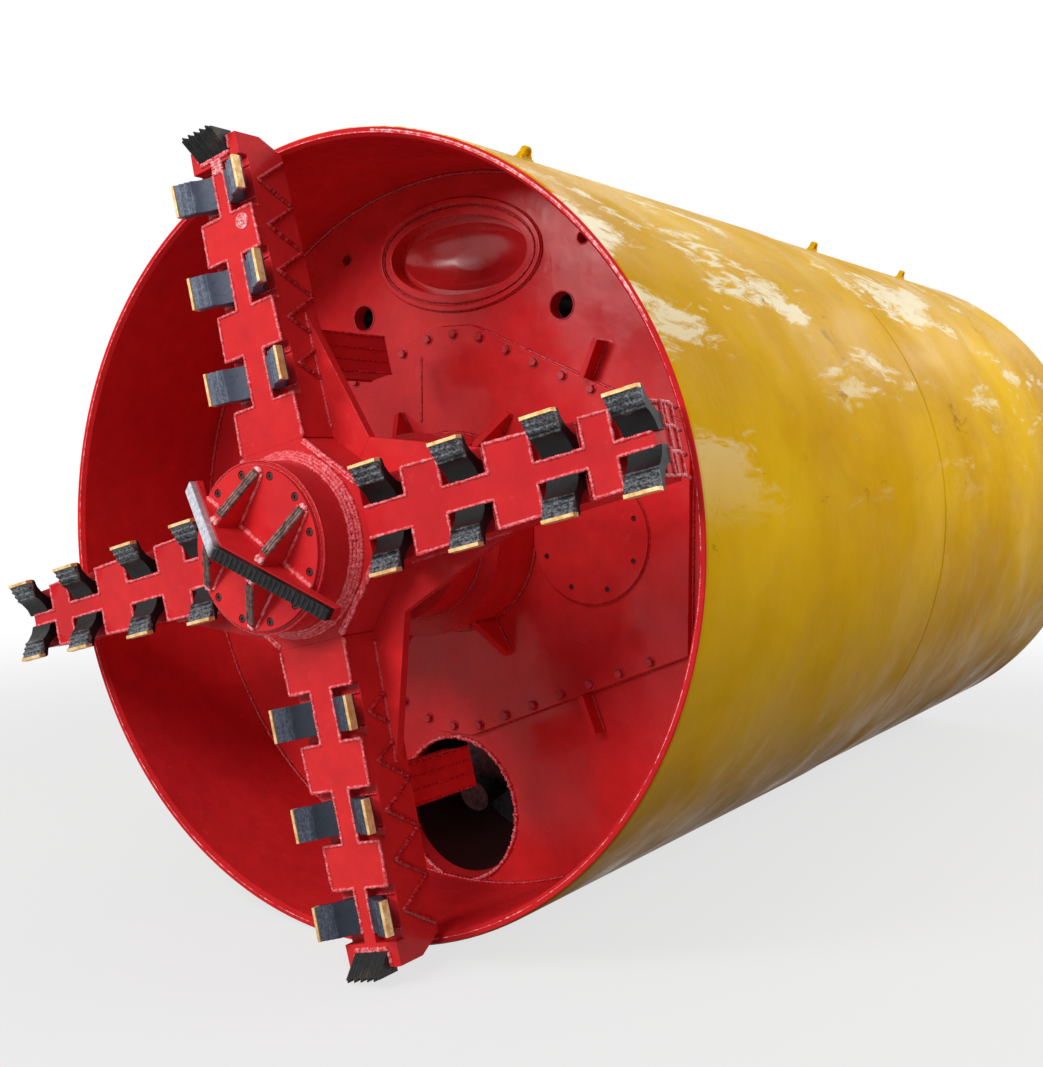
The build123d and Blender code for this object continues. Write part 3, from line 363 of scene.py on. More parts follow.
def fishtail_steel():
    """The bit's hard edges: near white along one arm as painted highlight, dark along the other."""
    finish = Finish("fishtail_steel", metallic=0.6)
    x, y, z = finish.split()
    lean = radians(FISHTAIL_TURN)
    along = finish.plus(finish.times(x, cos(lean)), finish.times(finish.plus(z, -AXIS_Z), sin(lean)))
    fray = finish.band(finish.noise(20, 4), 0, 1, -0.02, 0.02)
    arm = finish.band(finish.plus(along, fray), -0.03, 0.01)
    streak = finish.spots(0.35, 0.65, 70, 5, 0.65)
    # Near-white arm: painted highlight
    bright = finish.blend(streak, (168, 170, 180), (226, 226, 236))
    dark = finish.blend(streak, (14, 14, 16), (48, 48, 52))
    finish.paint(finish.blend(arm, bright, dark), finish.band(streak, 0, 1, 0.5, 0.3))
    finish.bump(((45, 5), 0.6, 0.003), ((220, 4), 0.4, 0.001))
    return finish.material


def casing_paint_and_bore_shade():
    """Grey outside, near black inside the screw's bore as painted shade."""
    finish = Finish("casing_paint_and_bore_shade", specular=0.3)
    x, y, z = finish.split()
    run = finish.plus(y, -(RIM_Y + BULKHEAD / 1000))
    climb = finish.plus(z, -(AXIS_Z + SCREW_Z / 1000))
    off = finish.plus(finish.times(climb, cos(SCREW_SLOPE)), finish.times(run, -sin(SCREW_SLOPE)))
    # Near black inside the bore: painted shade
    inside = finish.band(finish.length(x, off), (CASING_BORE + 1) / 1000, (CASING_BORE - 1) / 1000)
    drift = finish.spots(0.35, 0.65, 3, 5, 0.6)
    grey = finish.blend(drift, (118, 124, 128), (140, 146, 150))
    finish.paint(finish.blend(inside, grey, (40, 8, 10)), finish.band(drift, 0, 1, 0.45, 0.6))
    finish.bump(((160, 2), 0.08, 0.0006))
    return finish.material


RED = red_paint("red_paint", 0.12)
GLOSS_RED = red_paint("glossy_red_paint", 0.2)
DOOR_RED = red_paint("door_red_paint", 0.55)
YELLOW = yellow_paint()
FRONT_SHELL = shell_paint("front_shell_paint", SHELL_BORE, True)
REAR_SHELL = shell_paint("rear_shell_paint", REAR_BORE, False)
# The welds' pale colours are partly painted highlight on the beads' crests
WELD = weld_paint("painted_weld", (206, 26, 36), (246, 150, 158))
EDGE_WELD = weld_paint("edge_weld", (216, 48, 56), (246, 146, 152), 0.3)
SEAM_WELD = weld_paint("seam_weld", (188, 14, 24), (220, 62, 70))
RING_WELD = weld_paint("ring_weld", (212, 48, 56), (242, 124, 130), 0.3)
DULL_WELD = weld_paint("dull_weld", (176, 22, 30), (206, 44, 50))
# Darker red for the side walls' zigzag hard facing: painted shade along the beads
SHADED_WELD = weld_paint("shaded_weld", (158, 18, 26), (206, 44, 52))
# Near-white pink weld paint: painted highlight where beads catch glare
HIGHLIGHT_WELD = weld_paint("highlight_weld", (226, 88, 96), (252, 214, 214), 0.3)
YELLOW_WELD = weld_paint("yellow_weld", (196, 140, 30), (232, 186, 84), 0.3)
TOOL = tool_steel("tool_steel", (12, 12, 14), (34, 35, 38), (150, 154, 160))
# Lighter copies of the scrapers' steel for the upright spokes: painted light, the upper spoke's most
LIT_TOOL = tool_steel("lit_tool_steel", (72, 80, 96), (84, 92, 108), (136, 144, 160))
HALF_LIT_TOOL = tool_steel("half_lit_tool_steel", (44, 50, 62), (54, 60, 74), (104, 110, 124))
SOOT = steel("sooty_steel", (5, 5, 6), (24, 26, 28), 0.4, 0.6, 0.3)
MOTTLED = steel("mottled_steel", (34, 20, 18), (128, 92, 84), 0.4, 0.6, 0.3)
CARBIDE = carbide()
FISHTAIL = fishtail_steel()
BRIGHT = steel("bright_steel", (150, 150, 150), (196, 198, 200), 0.22, 0.42)
DARK_STEEL = steel("dark_steel", (26, 26, 28), (74, 76, 80), 0.3, 0.5, 0.7)
GREY = satin_paint("grey_paint", (118, 124, 128), (140, 146, 150), (90, 80, 70))
LIGHT = satin_paint("light_paint", (196, 198, 190), (212, 214, 206), (120, 116, 108))
BLACK = satin_paint("black_fittings", (20, 20, 22), (32, 32, 34), (70, 70, 70))
BOLT_RED = weld_paint("bolt_red", (168, 22, 30), (206, 46, 52), 0.3)
# Near-black paint for socket bolts: painted shade for sunk holes
SHADED_SOCKET = satin_paint("shaded_bolt_socket", (34, 10, 12), (60, 14, 18), (20, 8, 8))

SLOT_FINISH = {
    "red_paint": RED, "yellow_paint": YELLOW, "grey_paint": GREY, "light_paint": LIGHT,
    "tool_steel": TOOL, "carbide": CARBIDE, "bright_steel": BRIGHT,
}
NODE_FINISH = {
    "front_shell": FRONT_SHELL, "rear_shell": REAR_SHELL, "fishtail_edges": FISHTAIL,
    "gauge_cutters": SOOT, "screw_casing": casing_paint_and_bore_shade(), "screw_flight": DARK_STEEL,
    # The upright spokes' scrapers take the lit copies
    "screw_shaft": DARK_STEEL, "scrapers_2": LIT_TOOL, "scrapers_4": HALF_LIT_TOOL,
    "bulkhead": GLOSS_RED, "center_panel": GLOSS_RED, "manhole_frame": GLOSS_RED,
    "drive_covers": GLOSS_RED, "manhole_door": DOOR_RED,
}

# How far the nodes' outer edges are eased, in metres, and which nodes
EASE_WIDTHS = {
    0.001: "scraper_tips_1 scraper_tips_2 scraper_tips_3 scraper_tips_4",
    0.0015: "scrapers_1 scrapers_2 scrapers_3 scrapers_4",
    0.002: "hub_cover drive_covers front_ribs rear_ribs rear_deck discharge_gate",
    0.003: "spoke_1 spoke_2 spoke_3 spoke_4 fishtail fishtail_edges gauge_cutters bulkhead_fins "
           "manhole_frame manhole_hinge center_panel drive_housing front_pads rear_pads control_cabinet "
           "joint_ring front_brackets rear_pin_arms clevises clevis_posts",
    0.004: "hub mixing_bars drive_motors hydraulic_tank",
    0.005: "screw_drive",
    0.006: "gear_case",
}
EASED = {node: width for width, nodes in EASE_WIDTHS.items() for node in nodes.split()}

# Facets are smoothed up to the first turn, edges are eased from the second on, and flats join below the
# third. Points closer than the reach, in metres, become one.
SHARP_TURN = radians(28)
EASED_TURN = radians(32)
FLAT_TURN = radians(0.4)
MERGE_REACH = 0.00001


def smoothing_group():
    """Joins a CAD mesh's facets and smooths them, but not across real edges."""
    group = bpy.data.node_groups.new("smooth_facets", "GeometryNodeTree")
    for way in ("INPUT", "OUTPUT"):
        group.interface.new_socket("Geometry", in_out=way, socket_type="NodeSocketGeometry")
    add, join = group.nodes.new, group.links.new
    sharp = add("FunctionNodeCompare")
    sharp.operation = "GREATER_THAN"
    sharp.inputs[1].default_value = SHARP_TURN
    join(add("GeometryNodeInputMeshEdgeAngle").outputs[0], sharp.inputs[0])
    bare = add("GeometryNodeRemoveAttribute")
    bare.inputs["Name"].default_value = "custom_normal"
    merge = add("GeometryNodeMergeByDistance")
    merge.inputs["Distance"].default_value = MERGE_REACH
    steps = [bare, merge]
    for domain, smooth in (("FACE", True), ("EDGE", True), ("EDGE", False)):
        step = add("GeometryNodeSetShadeSmooth")
        step.domain = domain
        step.inputs["Shade Smooth"].default_value = smooth
        steps.append(step)
    join(sharp.outputs[0], steps[-1].inputs["Selection"])
    last = add("NodeGroupInput").outputs[0]
    for step in steps:
        join(last, step.inputs["Geometry"])
        last = step.outputs[0]
    join(last, add("NodeGroupOutput").inputs[0])
    return group


SMOOTHING = smoothing_group()


def smooth_facets(piece):
    piece.modifiers.new("smooth", "NODES").node_group = SMOOTHING


def ease_edges(piece, width):
    made = piece.modifiers.new("ease", "BEVEL")
    made.width = width
    made.segments = 2
    return made


def join_flats(piece):
    made = piece.modifiers.new("join_flats", "DECIMATE")
    made.decimate_type = "DISSOLVE"
    made.angle_limit = FLAT_TURN


for part in frame["record"]["subparts"]:
    node = frame["nodes"][part["node"]]
    finish = NODE_FINISH.get(part["node"], SLOT_FINISH[part["material_slot"]])
    if not node.material_slots:
        node.data.materials.append(finish)
    for holder in node.material_slots:
        holder.material = finish
    smooth_facets(node)
    if part["node"] in EASED:
        join_flats(node)
        ease = ease_edges(node, EASED[part["node"]])
        ease.limit_method = "ANGLE"
        ease.angle_limit = EASED_TURN
        ease.harden_normals = True
        ease.use_clamp_overlap = True


# Pieces built from lists of points

class Shape:
    """Collects the points and faces of one piece."""

    def __init__(self):
        self.points = []
        self.faces = []
        self.smooth = []

    def add(self, points, faces, smooth=False):
        first = len(self.points)
        self.points.extend(points)
        self.faces.extend([tuple(first + i for i in face) for face in faces])
        self.smooth.extend([smooth] * len(faces))

    def emit(self, name, material, body="cutterhead", slot="red_paint"):
        """Makes the piece, on the cutterhead unless told otherwise. The slot is not used."""
        mesh = bpy.data.meshes.new(name)
        mesh.from_pydata([tuple(p) for p in self.points], [], self.faces)
        mesh.polygons.foreach_set("use_smooth", self.smooth)
        mesh.materials.append(material)
        mesh.validate()
        mesh.update()
        piece = bpy.data.objects.new(name, mesh)
        bpy.context.scene.collection.objects.link(piece)
        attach(piece, body)
        return piece


def side_pair(out):
    """Two directions square to a direction and to each other."""
    guide = Vector((0, 0, 1)) if abs(out.z) < 0.9 else Vector((1, 0, 0))
    across = out.cross(guide).normalized()
    return across, out.cross(across).normalized()


def stacked(rows, sides):
    """Faces between rows of points, one row after another, with both ends closed."""
    faces = []
    for row in range(rows - 1):
        for i in range(sides):
            j = (i + 1) % sides
            faces.append((row * sides + i, row * sides + j, (row + 1) * sides + j, (row + 1) * sides + i))
    top = (rows - 1) * sides
    return faces + [tuple(range(top, top + sides)), tuple(reversed(range(sides)))]


def lathe(shape, foot, out, profile, sides, turn=0.0):
    """Turns (radius, rise) steps, in millimetres, about a direction out from a foot."""
    out = out.normalized()
    across, along = side_pair(out)
    points = []
    for radius, rise in profile:
        for i in range(sides):
            a = 2 * pi * i / sides + turn
            points.append(foot + out * rise / 1000 + (across * cos(a) + along * sin(a)) * radius / 1000)
    shape.add(points, stacked(len(profile), sides))


def hex_bolt(shape, foot, out, radius, height, turn):
    """A hexagonal head with a chamfer, on its washer."""
    low = height * 0.16
    lathe(shape, foot, out, ((radius * 1.32, 0), (radius * 1.32, low)), 16)
    lathe(shape, foot, out, ((radius, low), (radius, height * 0.88), (radius * 0.86, height)), 6, turn)


def socket_screw(shape, foot, out, radius, height):
    """A cylinder head with a sunk middle."""
    steps = [(1, 0), (1, 0.9), (0.92, 1), (0.55, 1), (0.5, 0.4)]
    lathe(shape, foot, out, [(radius * wide, height * tall) for wide, tall in steps], 12)


def prism(shape, foot, tip):
    """A closed body between two outlines with the same number of corners."""
    count = len(foot)
    faces = [tuple(reversed(range(count))), tuple(range(count, 2 * count))]
    for i in range(count):
        j = (i + 1) % count
        faces.append((i, j, count + j, count + i))
    shape.add(foot + tip, faces)


def block(shape, corners, low, high):
    """A prism between two copies of an outline, each corner given by two functions."""
    prism(shape, [low(*c) for c in corners], [high(*c) for c in corners])


def bead(shape, path, radius, closed=False, sides=6, waves=0.16, rough=0.14, pitch=None):
    """A weld bead along a line, with its ripples. The radius is in millimetres."""
    r = radius / 1000
    pitch = (pitch or radius * 1.7) / 1000
    step = pitch / 3
    spots = []
    count = len(path)
    for i in range(count if closed else count - 1):
        a, b = path[i], path[(i + 1) % count]
        parts = max(1, ceil((b - a).length / step))
        spots.extend(a.lerp(b, k / parts) for k in range(parts))
    if not closed:
        spots.append(path[-1])
    total = len(spots)
    points, faces = [], []
    normal = None
    travelled = 0.0
    for i, spot in enumerate(spots):
        after = spots[(i + 1) % total] if closed or i < total - 1 else spot
        before = spots[i - 1] if closed or i > 0 else spot
        tangent = (after - before).normalized()
        if normal is None:
            normal = side_pair(tangent)[0]
        normal = (normal - tangent * normal.dot(tangent)).normalized()
        other = tangent.cross(normal)
        travelled += (spot - before).length if i else 0.0
        wave = (travelled / pitch) % 1.0
        grain = noise.noise(spot * 70)
        size = r * (1 + waves * (wave - 0.5) * 2 + rough * grain)
        shift = normal * r * 0.3 * noise.noise(spot * 45 + Vector((9, 0, 0)))
        if not closed and i in (0, total - 1):
            size *= 0.35
        for k in range(sides):
            a = 2 * pi * k / sides
            points.append(spot + shift + (normal * cos(a) + other * sin(a)) * size)
    rows = total if closed else total - 1
    for i in range(rows):
        j = (i + 1) % total
        for k in range(sides):
            m = (k + 1) % sides
            faces.append((i * sides + k, i * sides + m, j * sides + m, j * sides + k))
    if not closed:
        faces.append(tuple(reversed(range(sides))))
        faces.append(tuple((total - 1) * sides + k for k in range(sides)))
    shape.add(points, faces, True)


def line(place, *coordinates):
    """Two points by a place function, from coordinates that are one number or a (first, last) pair."""
    pairs = [c if isinstance(c, tuple) else (c, c) for c in coordinates]
    return [place(*corner) for corner in zip(*pairs)]


def circle(center, out, radius, sides):
    """Points round a circle that faces a direction."""
    across, along = side_pair(out)
    angles = [2 * pi * i / sides for i in range(sides)]
    return [center + across * radius / 1000 * cos(a) + along * radius / 1000 * sin(a) for a in angles]


def oval(station, z, across, along, sides):
    """Points round an oval that faces along the machine's axis, with its middle at x = 0."""
    angles = [2 * pi * i / sides for i in range(sides)]
    return [at(across * cos(a), station, z + along * sin(a)) for a in angles]


def hoop(radius, station, sides, start=0.0, end=360.0):
    """Points round the machine's axis."""
    steps = sides if end - start >= 360 else sides - 1
    return [polar(start + (end - start) * i / steps, radius, station) for i in range(sides)]


def ring(shape, foot, out, profile, sides):
    """Turns a closed outline of (radius, rise) corners, in millimetres, about a direction."""
    across, along = side_pair(out)
    count = len(profile)
    points, faces = [], []
    for i in range(sides):
        a = 2 * pi * i / sides
        spoke = across * cos(a) + along * sin(a)
        points.extend(foot + out * rise / 1000 + spoke * radius / 1000 for radius, rise in profile)
        j = (i + 1) % sides
        for k in range(count):
            m = (k + 1) % count
            faces.append((i * count + k, i * count + m, j * count + m, j * count + k))
    shape.add(points, faces)


def bolt_circle(shape, center, out, radius, count, size, height, start=0.0):
    across, along = side_pair(out)
    for i in range(count):
        a = 2 * pi * i / count + start
        foot = center + (across * cos(a) + along * sin(a)) * radius / 1000
        hex_bolt(shape, foot, out, size, height, 0.7 * i)


def rounded(path, radius, steps=6):
    """A line with its corners rounded, as a bent pipe has them. The radius is in millimetres."""
    made = [path[0]]
    for before, corner, after in zip(path, path[1:], path[2:]):
        enter = corner + (before - corner).normalized() * radius / 1000
        leave = corner + (after - corner).normalized() * radius / 1000
        for i in range(steps + 1):
            t = i / steps
            made.append(enter.lerp(corner, t).lerp(corner.lerp(leave, t), t))
    return made + [path[-1]]


def box(shape, x, station, z):
    """A block from (low, high) pairs along x, the station and z."""
    corners = [(x[0], station[0]), (x[1], station[0]), (x[1], station[1]), (x[0], station[1])]
    block(shape, corners, lambda a, b: at(a, b, z[0]), lambda a, b: at(a, b, z[1]))


FORWARD = Vector((0, -1, 0))
BACK = Vector((0, 1, 0))
RIGHT = Vector((1, 0, 0))
UP = Vector((0, 0, 1))


# Cutterhead welds and hard facing

OUTLINE_START = 300.0
ROOT_CLEAR = 330.0
SEAM_SPACING = 50
ZIGZAG_START = 452
ZIGZAG_STEP = 72
ZIGZAG_CORNERS = 11


def spoke_outline(turn, pairs, end, side):
    """The edge of a spoke's front plate on one side, with its pockets."""
    edge = spoke_half(OUTLINE_START)
    if pairs[0] - POCKET_HALF < OUTLINE_START:
        edge = spoke_half(pairs[0]) - POCKET_DEPTH
    path = [(OUTLINE_START, edge)]
    for radius in pairs:
        inner = spoke_half(radius) - POCKET_DEPTH
        low, high = radius - POCKET_HALF, radius + POCKET_HALF
        if low > OUTLINE_START:
            path += [(low, spoke_half(low)), (low, inner)]
        if high < end:
            path += [(high, inner), (high, spoke_half(high))]
    path.append((end, inner))
    return [on_spoke(turn, reach, side * half, SPOKE_FRONT) for reach, half in path]


def pocket_runs(crests, seams, turn, radius, side, end):
    """Heavier runs along one pocket's ends, paler as painted highlight on their crests, and seams beside
    its scraper.
    """
    outer = spoke_half(radius)
    inner = outer - POCKET_DEPTH
    for place in (radius - POCKET_HALF, radius + POCKET_HALF):
        if ROOT_CLEAR < place < end:
            across = (side * (outer - 4), side * (inner + 4))
            run = line(on_spoke, turn, place, across, SPOKE_FRONT - 1)
            bead(crests, run, 4.2, waves=0.3, rough=0.3)
    for step in (-SEAM_SPACING, SEAM_SPACING):
        across = (side * (outer - 2), side * (inner + 6))
        bead(seams, line(on_spoke, turn, radius + step, across, 180), 5.0)


def zigzag(turn, side):
    """Corners of the hard facing down an upright spoke's side wall."""
    path = []
    for corner in range(ZIGZAG_CORNERS):
        reach = ZIGZAG_START + ZIGZAG_STEP * corner
        path.append(on_spoke(turn, reach, side * (spoke_half(reach) + 1), 160 if corner % 2 else 30))
    return path


def end_grid(crests, turn):
    """Hard facing in a grid on a level spoke's end wall."""
    for side in (-94, -33, 33, 94):
        corners = ((1251, 208), (1251, 112), (1226, 40), (1206, -22))
        run = [on_spoke(turn, reach, side, height) for reach, height in corners]
        bead(crests, run, 5.0, waves=0.25, rough=0.25)
    for height, reach in ((132, 1251), (57, 1232)):
        bead(crests, line(on_spoke, turn, reach, (-92, 92), height), 4.4, waves=0.25, rough=0.25)


for number in range(4):
    turn = HEAD_TURN + 90 * number
    upright = number % 2
    pairs = UPRIGHT_PAIRS if upright else LEVEL_PAIRS
    end = UPRIGHT_END if upright else LEVEL_END
    seams, crests, edges = Shape(), Shape(), Shape()
    for side in (-1, 1):
        bead(edges, spoke_outline(turn, pairs, end, side), 5.0, waves=0.25, rough=0.4)
        for radius in pairs:
            pocket_runs(crests, seams, turn, radius, side, end)
        corners = [(reach, side * spoke_half(reach), 80) for reach in (GUSSET_START, GUSSET_END)]
        bead(seams, [on_spoke(turn, *corner) for corner in corners], 7.0)
    seams.emit(f"spoke_{number + 1}_welds", SEAM_WELD)
    edges.emit(f"spoke_{number + 1}_edge_welds", EDGE_WELD)
    if upright:
        zigzags = Shape()
        for side in (-1, 1):
            bead(zigzags, zigzag(turn, side), 8.0, waves=0.22, rough=0.3)
        zigzags.emit(f"spoke_{number + 1}_zigzags", SHADED_WELD)
    else:
        end_grid(crests, turn)
    crests.emit(f"spoke_{number + 1}_hard_facing", WELD)

# Hub: an octagonal plate in line with the spokes, and a straight drum standing on it
HUB_DRUM = 250.0
HUB_FACE = 345.0
HUB_SIDES = 96
HUB_ROWS = (
    (HUB_FLAT, SPOKE_BACK), (HUB_FLAT, SPOKE_FRONT), (HUB_DRUM + 20, SPOKE_FRONT),
    (HUB_DRUM, SPOKE_FRONT + 24), (HUB_DRUM, HUB_FACE - 3), (HUB_DRUM - 3, HUB_FACE),
)
hub_points = []
for radius, height in HUB_ROWS:
    for i in range(HUB_SIDES):
        a = 22.5 + 360 / HUB_SIDES * i
        # the plate's rows follow its eight flats, the drum's rows are round
        out = radius / cos(radians((a + 22.5) % 45 - 22.5)) if radius == HUB_FLAT else radius
        hub_points.append(on_spoke(HEAD_TURN + a, out, 0, height))
hub_body = Shape()
hub_body.add(hub_points, stacked(len(HUB_ROWS), HUB_SIDES))
hub = hub_body.emit("hub_body", RED)
smooth_facets(hub)
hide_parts("hub")

hub_welds = Shape()
for radius, height, size in ((253, 238, 6.0), (259, 229, 8.0), (266, 221, 8.0), (273, 215, 7.0)):
    bead(hub_welds, hoop(radius, -height, 180), size, True, waves=0.2, rough=0.4, pitch=size * 1.3)
hub_welds.emit("hub_ring_welds", RING_WELD)
hub_seams = Shape()
bead(hub_seams, hoop(250, -344, 140), 3.0, True)
bead(hub_seams, hoop(239, -346, 140), 3.5, True)
hub_seams.emit("hub_seams", DULL_WELD)
hub_edges = Shape()
for turn in (45, 135, 225, 315):
    for size, inset, height in ((6.5, 2, 212), (4.5, 11, 213)):
        flat = line(on_spoke, HEAD_TURN + turn, HUB_FLAT - inset, (-FLAT_HALF, FLAT_HALF), height)
        bead(hub_edges, flat, size, waves=0.25, rough=0.5)
hub_edges.emit("hub_edge_welds", EDGE_WELD)

# Bolts sunk in the hub's cover, near black as painted shade for their sunk holes
COVER_BOLTS = 215
BOLT_SEAT = 352.5
hub_bolts = Shape()
for i in range(12):
    a = FISHTAIL_TURN + 15 + 30 * i
    socket_screw(hub_bolts, on_spoke(a, COVER_BOLTS, 0, BOLT_SEAT), FORWARD, 10.5, 6.0)
hub_bolts.emit("hub_cover_bolts", SHADED_SOCKET)

# Fishtail: a roof-shaped blade with sloping webs, hard edges, fillets at the feet
NOSE = 532.0
BRIGHT_END = 350.0
DARK_END = 384.0
BLADE_HALF = 337.0
BLADE_FOOT = 238
EDGE = 26.0
WEB_PLACE = 100.0
WEB_HALF = 15
WEB_FOOT = 200.0
WEB_TOP = 48
COVER_TOP = 360.0


def fish(along, side, height):
    return on_spoke(FISHTAIL_TURN, along, side, height)


def fish_plate(shape, corners, low, high):
    """A plate in line with the blade, from its (along, height) corners and its two faces."""
    block(shape, corners, lambda along, height: fish(along, low, height),
          lambda along, height: fish(along, high, height))


fish_body = Shape()
blade = [
    (-BLADE_FOOT, COVER_TOP - 1), (-BLADE_HALF, 296), (-BLADE_HALF, BRIGHT_END - EDGE), (0, NOSE - EDGE),
    (BLADE_HALF, DARK_END - EDGE), (BLADE_HALF, 328), (BLADE_FOOT, COVER_TOP - 1),
]
fish_plate(fish_body, blade, 21, -21)
web = [(0, COVER_TOP - 2), (WEB_FOOT, COVER_TOP - 2), (WEB_FOOT, 369), (WEB_TOP, 446), (0, 446)]
for place in (-WEB_PLACE, WEB_PLACE):
    for flank in (-1, 1):
        block(
            fish_body, web,
            lambda side, height: fish(place - WEB_HALF * flank, flank * side, height),
            lambda side, height: fish(place + WEB_HALF * flank, flank * side, height),
        )
fishtail = fish_body.emit("fishtail_body", RED)
ease_edges(fishtail, 0.002)
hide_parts("fishtail")

fish_edges = Shape()
roof = [
    (-BLADE_HALF, BRIGHT_END - EDGE), (0, NOSE - EDGE), (BLADE_HALF, DARK_END - EDGE),
    (BLADE_HALF, DARK_END), (0, NOSE), (-BLADE_HALF, BRIGHT_END),
]
fish_plate(fish_edges, roof, 19, -19)
hard_edges = fish_edges.emit("fishtail_hard_edges", FISHTAIL, slot="tool_steel")
ease_edges(hard_edges, 0.003)
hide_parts("fishtail_edges")

fish_welds = Shape()
web_spots = Shape()
for side in (-1, 1):
    bead(fish_welds, line(fish, (-BLADE_FOOT, BLADE_FOOT), side * 25, 363), 8.5, rough=0.4)
    for place in (-WEB_PLACE, WEB_PLACE):
        for flank in (-18, 18):
            foot = line(fish, place + flank, (side * 30, side * WEB_FOOT), 362)
            bead(fish_welds, foot, 5.5, rough=0.4)
        heel = line(fish, (place - 14, place + 14), side * (WEB_FOOT + 4), 364)
        bead(web_spots, heel, 8.0, rough=0.6)
        for flank in (-8, 6):
            crown = line(fish, place + flank, (side * 22, side * 45), (449, 447))
            bead(web_spots, crown, 8.5, rough=0.6)
fish_welds.emit("fishtail_welds", EDGE_WELD)
# The webs' end welds in near-white paint: painted highlight
web_spots.emit("web_end_welds", HIGHLIGHT_WELD)

# The blade's dark arm is worn into cross ridges, its bright arm only dented
arm_ridges = Shape()
for i in range(23):
    reach = 16 + 14 * i
    crest = NOSE - (NOSE - DARK_END) * reach / BLADE_HALF
    ridge = [(reach - 4, crest - 2), (reach - 2, crest + 4), (reach + 1, crest + 4), (reach + 5, crest - 4)]
    fish_plate(arm_ridges, ridge, -17.5, 17.5)
arm_ridges.emit("fishtail_ridges", SOOT, slot="tool_steel")

# Worn runs down the webs' sloping tops
WEAR_STEP = 6.2
WEAR_SLOPE = 77 / 152
wing_wear = Shape()
for place in (-WEB_PLACE, WEB_PLACE):
    for side in (-1, 1):
        for shift in (-9, 0, 9):
            steps = [i * WEAR_STEP for i in range(25)]
            path = [fish(place + shift, side * (50 + step), 444 - step * WEAR_SLOPE) for step in steps]
            bead(wing_wear, path, 6.5, waves=0.08, rough=0.5, pitch=21)
wing_wear.emit("wing_edges", MOTTLED, slot="tool_steel")

# Near-white runs on the upper spoke, beside its cutter and in rings near a pocket: painted highlight for
# the glare on the plate there
highlight_runs = Shape()
for i in range(5):
    reach = UPRIGHT_END + 9 * i
    run = line(on_spoke, UPPER_TURN, (reach, reach + 2), (-24, 22), SPOKE_FRONT)
    bead(highlight_runs, run, 5.5, rough=0.5)
for radius in (6, 14, 21):
    turns = circle(on_spoke(UPPER_TURN, 978, -58, SPOKE_FRONT), FORWARD, radius, 24)
    bead(highlight_runs, turns, 4.5, True, rough=0.5)
highlight_runs.emit("highlight_runs", HIGHLIGHT_WELD)

# Gauge cutters: ribs worn into their leaning faces, teeth at the end, welds at the foot
RIB_SIDES = (-50, -25, 0, 25, 50)
# (reach, side, height) of a tooth's corners, the side from the rib's own
TOOTH_FOOT = ((1264.5, -9, 250), (1264.5, 9, 250), (1249, 9, 264), (1249, -9, 264))
TOOTH_TIP = ((1267, -1, 281), (1267, 1, 281), (1264, 1, 282), (1264, -1, 282))
WELD_TOP = 213
gauge_ribs = Shape()
gauge_welds = Shape()


def tooth_outline(turn, side, corners):
    return [on_spoke(turn, reach, side + shift, height) for reach, shift, height in corners]


for turn in (UPPER_TURN, LOWER_TURN):
    for side in RIB_SIDES:
        for flank in (-5, 5):
            run = line(on_spoke, turn, (1206, 1254), side + flank, (221, 270))
            bead(gauge_ribs, run, 2.4, waves=0.1, rough=0.3)
    for shift in (0, 5):
        bead(gauge_welds, line(on_spoke, turn, 1197 - shift, (-64, 64), WELD_TOP), 6.0, rough=0.3)
    for side in (-65, 65):
        bead(gauge_welds, line(on_spoke, turn, (1202, 1246), side, WELD_TOP), 6.0, rough=0.3)
    for side in RIB_SIDES:
        prism(gauge_ribs, tooth_outline(turn, side, TOOTH_FOOT), tooth_outline(turn, side, TOOTH_TIP))
gauge_ribs.emit("gauge_ribs", SOOT, slot="tool_steel")
gauge_welds.emit("gauge_welds", WELD)

# Mixing bars: built up from plates, with runs along their corners
MIXING_BARS = ((UPPER_TURN, 600.0), (LOWER_TURN, 775.0))
BAR_HALF = 62.5
BAR_SIDE = 45
bar_welds = Shape()
for turn, reach in MIXING_BARS:
    for across in (-BAR_HALF, BAR_HALF):
        for side in (-BAR_SIDE, BAR_SIDE):
            bead(bar_welds, line(on_spoke, turn, reach + across, side, (-26, -368)), 4.5)
    for side in (-BAR_SIDE, BAR_SIDE):
        for shift in (-22, 18):
            bead(bar_welds, line(on_spoke, turn, reach + shift, side, (-30, -364)), 3.2)
        bead(bar_welds, line(on_spoke, turn, (reach - 62, reach + 62), side, -27), 7.0)
bar_welds.emit("mixing_bar_welds", SEAM_WELD)

# Bulkhead welds: rings, the panel's edges, the manhole's frame, fins, ports and covers
bulk_welds = Shape()
bead(bulk_welds, hoop(1216, BULKHEAD - 3, 220), 8.0, True, pitch=16)
bead(bulk_welds, hoop(339, PANEL - 3, 140), 7.0, True)
bead(bulk_welds, hoop(277, 374, 120), 5.0, True)
for sign in (1, -1):
    places = range(-PANEL_HALF, PANEL_HALF + 1, 60)
    bead(bulk_welds, [at(x, PANEL_EDGE, sign * panel_edge(x)) for x in places], 5.5)
for sign in (-1, 1):
    bead(bulk_welds, line(at, sign * (PANEL_HALF + 2), PANEL_EDGE, (-350, 350)), 5.5)
for across, along in ((342, 190), (324, 172), (312, 160)):
    bead(bulk_welds, oval(BULKHEAD - 2, MANHOLE_Z, across, along, 110), 4.5, True)
bead(bulk_welds, line(at, -138, PANEL - 1, (375, 600)), 4.0, waves=0.25, rough=0.3)
for turn in (60, 120, 240, 300):
    for side in (-12, 12):
        corners = ((340, 128), (340, 4), (466, 3))
        bead(bulk_welds, [on_spoke(turn, reach, side, rise - PANEL) for reach, rise in corners], 5.0)
